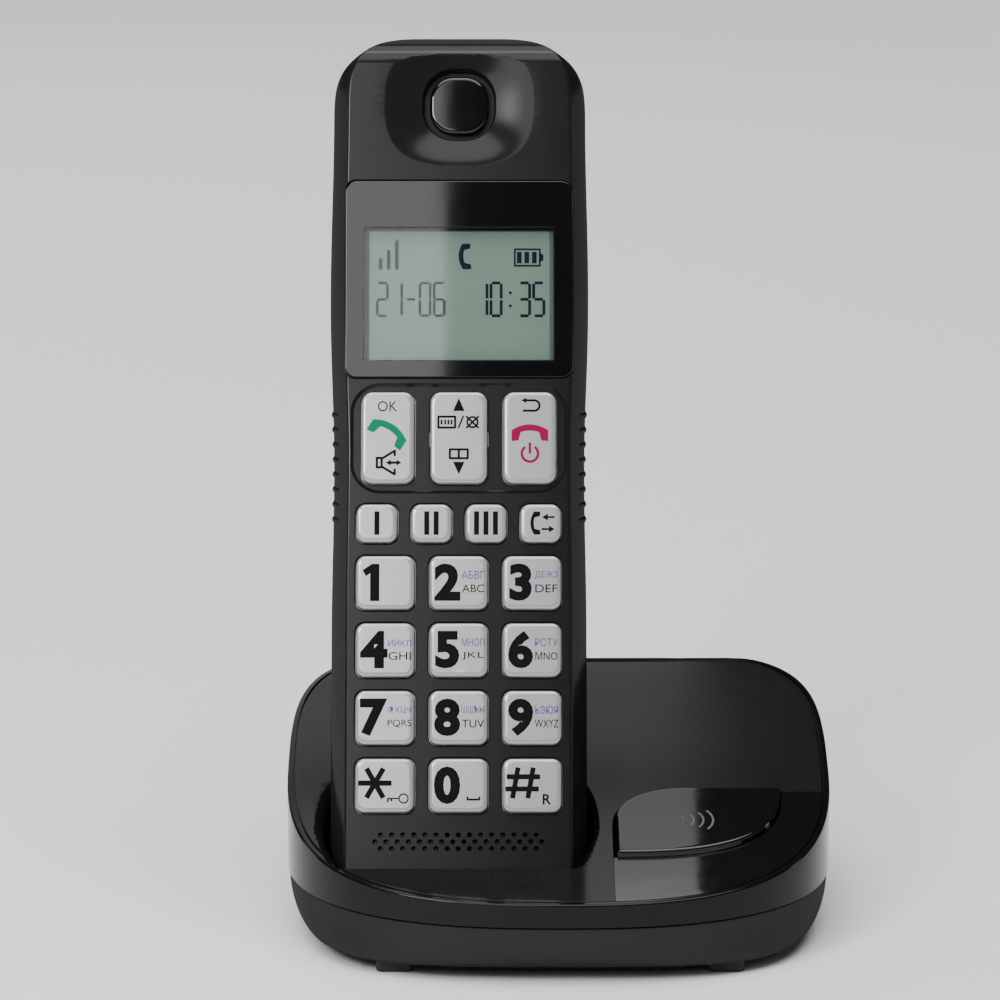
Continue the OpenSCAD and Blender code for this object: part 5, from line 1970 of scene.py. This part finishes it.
@dataclass
class Studio:
    """The floor, the lights and the camera.

    Attributes:
        low: the object's lowest corner.
        high: its highest corner.
    """

    low: Vector
    high: Vector

    def camera(self) -> None:
        """A long lens a little above the table."""
        data = bpy.data.cameras.new("camera")
        data.lens, data.sensor_width = 160.65, 36.0
        data.clip_start, data.clip_end = 0.05, 30.0
        cam = bpy.data.objects.new("camera", data)
        bpy.context.scene.collection.objects.link(cam)
        elevation = math.radians(13.5)
        middle = (self.low + self.high) / 2
        target = Vector((middle.x - 0.0113, middle.y - 0.0046, middle.z + 0.0002))
        back = Vector((0, -math.cos(elevation), math.sin(elevation)))
        cam.location = target + back * 0.85
        cam.rotation_euler = (math.pi / 2 - elevation, 0, 0)
        bpy.context.scene.camera = cam

    def floor(self) -> None:
        """A wide pale floor."""
        shape = Shape()
        size = 6000.0
        rings = [[Vector((x * size, y * size, z)) for x, y in ((-1, -1), (1, -1), (1, 1), (-1, 1))]
                 for z in (-2.0, -0.02)]
        shape.loft(rings)
        obj = raw_object("floor", shape)
        obj.data.transform(Matrix.Scale(MM, 4))
        obj.data.materials.append(FLOOR.material())
        obj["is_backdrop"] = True

    @staticmethod
    def panel_light(name: str, place: tuple, aim: tuple, size: Point2, power: float,
                    roll: float = 0.0) -> None:
        """A rectangular soft light.

        Args:
            name: its name.
            place: where it is.
            aim: the point it faces.
            size: its width and height.
            power: its power in watts.
            roll: its turn about the direction it shines in, in degrees.
        """
        data = bpy.data.lights.new(name, "AREA")
        data.shape, data.size, data.size_y = "RECTANGLE", size[0], size[1]
        data.energy = power
        obj = bpy.data.objects.new(name, data)
        obj.location = place
        turn = (Vector(aim) - Vector(place)).to_track_quat("-Z", "Y").to_matrix()
        obj.rotation_euler = (turn @ Matrix.Rotation(math.radians(roll), 3, "Z")).to_euler()
        bpy.context.scene.collection.objects.link(obj)

    def lights(self) -> None:
        """The two cards that the black plastic mirrors, a light on the keys, lights at both edges and
        along the top, and a wide soft sun."""
        self.panel_light("card_front", (-0.34, -1.27, 0.86), (-0.34, 0.01, 0.12), (0.6, 0.6), 3.8)
        self.panel_light("card_back", (-0.3695, 0.9, 0.83), (-0.3695, -0.02, 0.03), (0.9, 0.74), 3.05, 0.2)
        self.panel_light("main_left", (-0.32, -0.42, 0.42), (-0.02, 0, 0.1), (0.2, 0.2), 2.3)
        self.panel_light("edge_left", (-1.2, 0.35, 0.3), (0, 0, 0.08), (0.25, 0.9), 2.0)
        self.panel_light("edge_right", (1.2, 0.1, 0.25), (0, 0, 0.04), (0.14, 0.9), 1.0)
        self.panel_light("strip_above", (0.05, -0.12, 1.2), (0.05, 0, 0.03), (1.0, 0.08), 1.8)
        sun = bpy.data.lights.new("overhead", "SUN")
        sun.energy, sun.angle = SUN_STRENGTH, SUN_WIDTH
        overhead = bpy.data.objects.new("overhead", sun)
        overhead.rotation_euler = (SUN_TILT, 0, 0)
        bpy.context.scene.collection.objects.link(overhead)

    @staticmethod
    def sky() -> None:
        """A plain white surround that lights the object only dimly."""
        world = bpy.data.worlds.new("surround")
        bpy.context.scene.world = world
        world.use_nodes = True
        tree = world.node_tree
        tree.nodes.clear()
        seen = tree.nodes.new("ShaderNodeLightPath")
        pick = tree.nodes.new("ShaderNodeMixShader")
        dim, bright = tree.nodes.new("ShaderNodeBackground"), tree.nodes.new("ShaderNodeBackground")
        dim.inputs["Strength"].default_value, bright.inputs["Strength"].default_value = 0.06, 1.0
        dim.inputs["Color"].default_value = bright.inputs["Color"].default_value = (1, 1, 1, 1)
        out = tree.nodes.new("ShaderNodeOutputWorld")
        tree.links.new(seen.outputs["Is Camera Ray"], pick.inputs[0])
        tree.links.new(dim.outputs[0], pick.inputs[1])
        tree.links.new(bright.outputs[0], pick.inputs[2])
        tree.links.new(pick.outputs[0], out.inputs["Surface"])

    def build(self) -> None:
        """Builds the studio; the camera comes first."""
        self.camera()
        self.floor()
        self.lights()
        self.sky()


def main() -> None:
    """Builds the studio, the handset, its keys and the base in order."""
    logging.basicConfig(level=logging.INFO, format="%(name)s: %(message)s")
    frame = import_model()
    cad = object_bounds()
    Studio(*cad).build()
    handset = Handset.from_frame(frame)
    handset.build()
    Keypad(handset).build()
    Base.from_frame(handset).build()


if __name__ == "__main__":
    main()
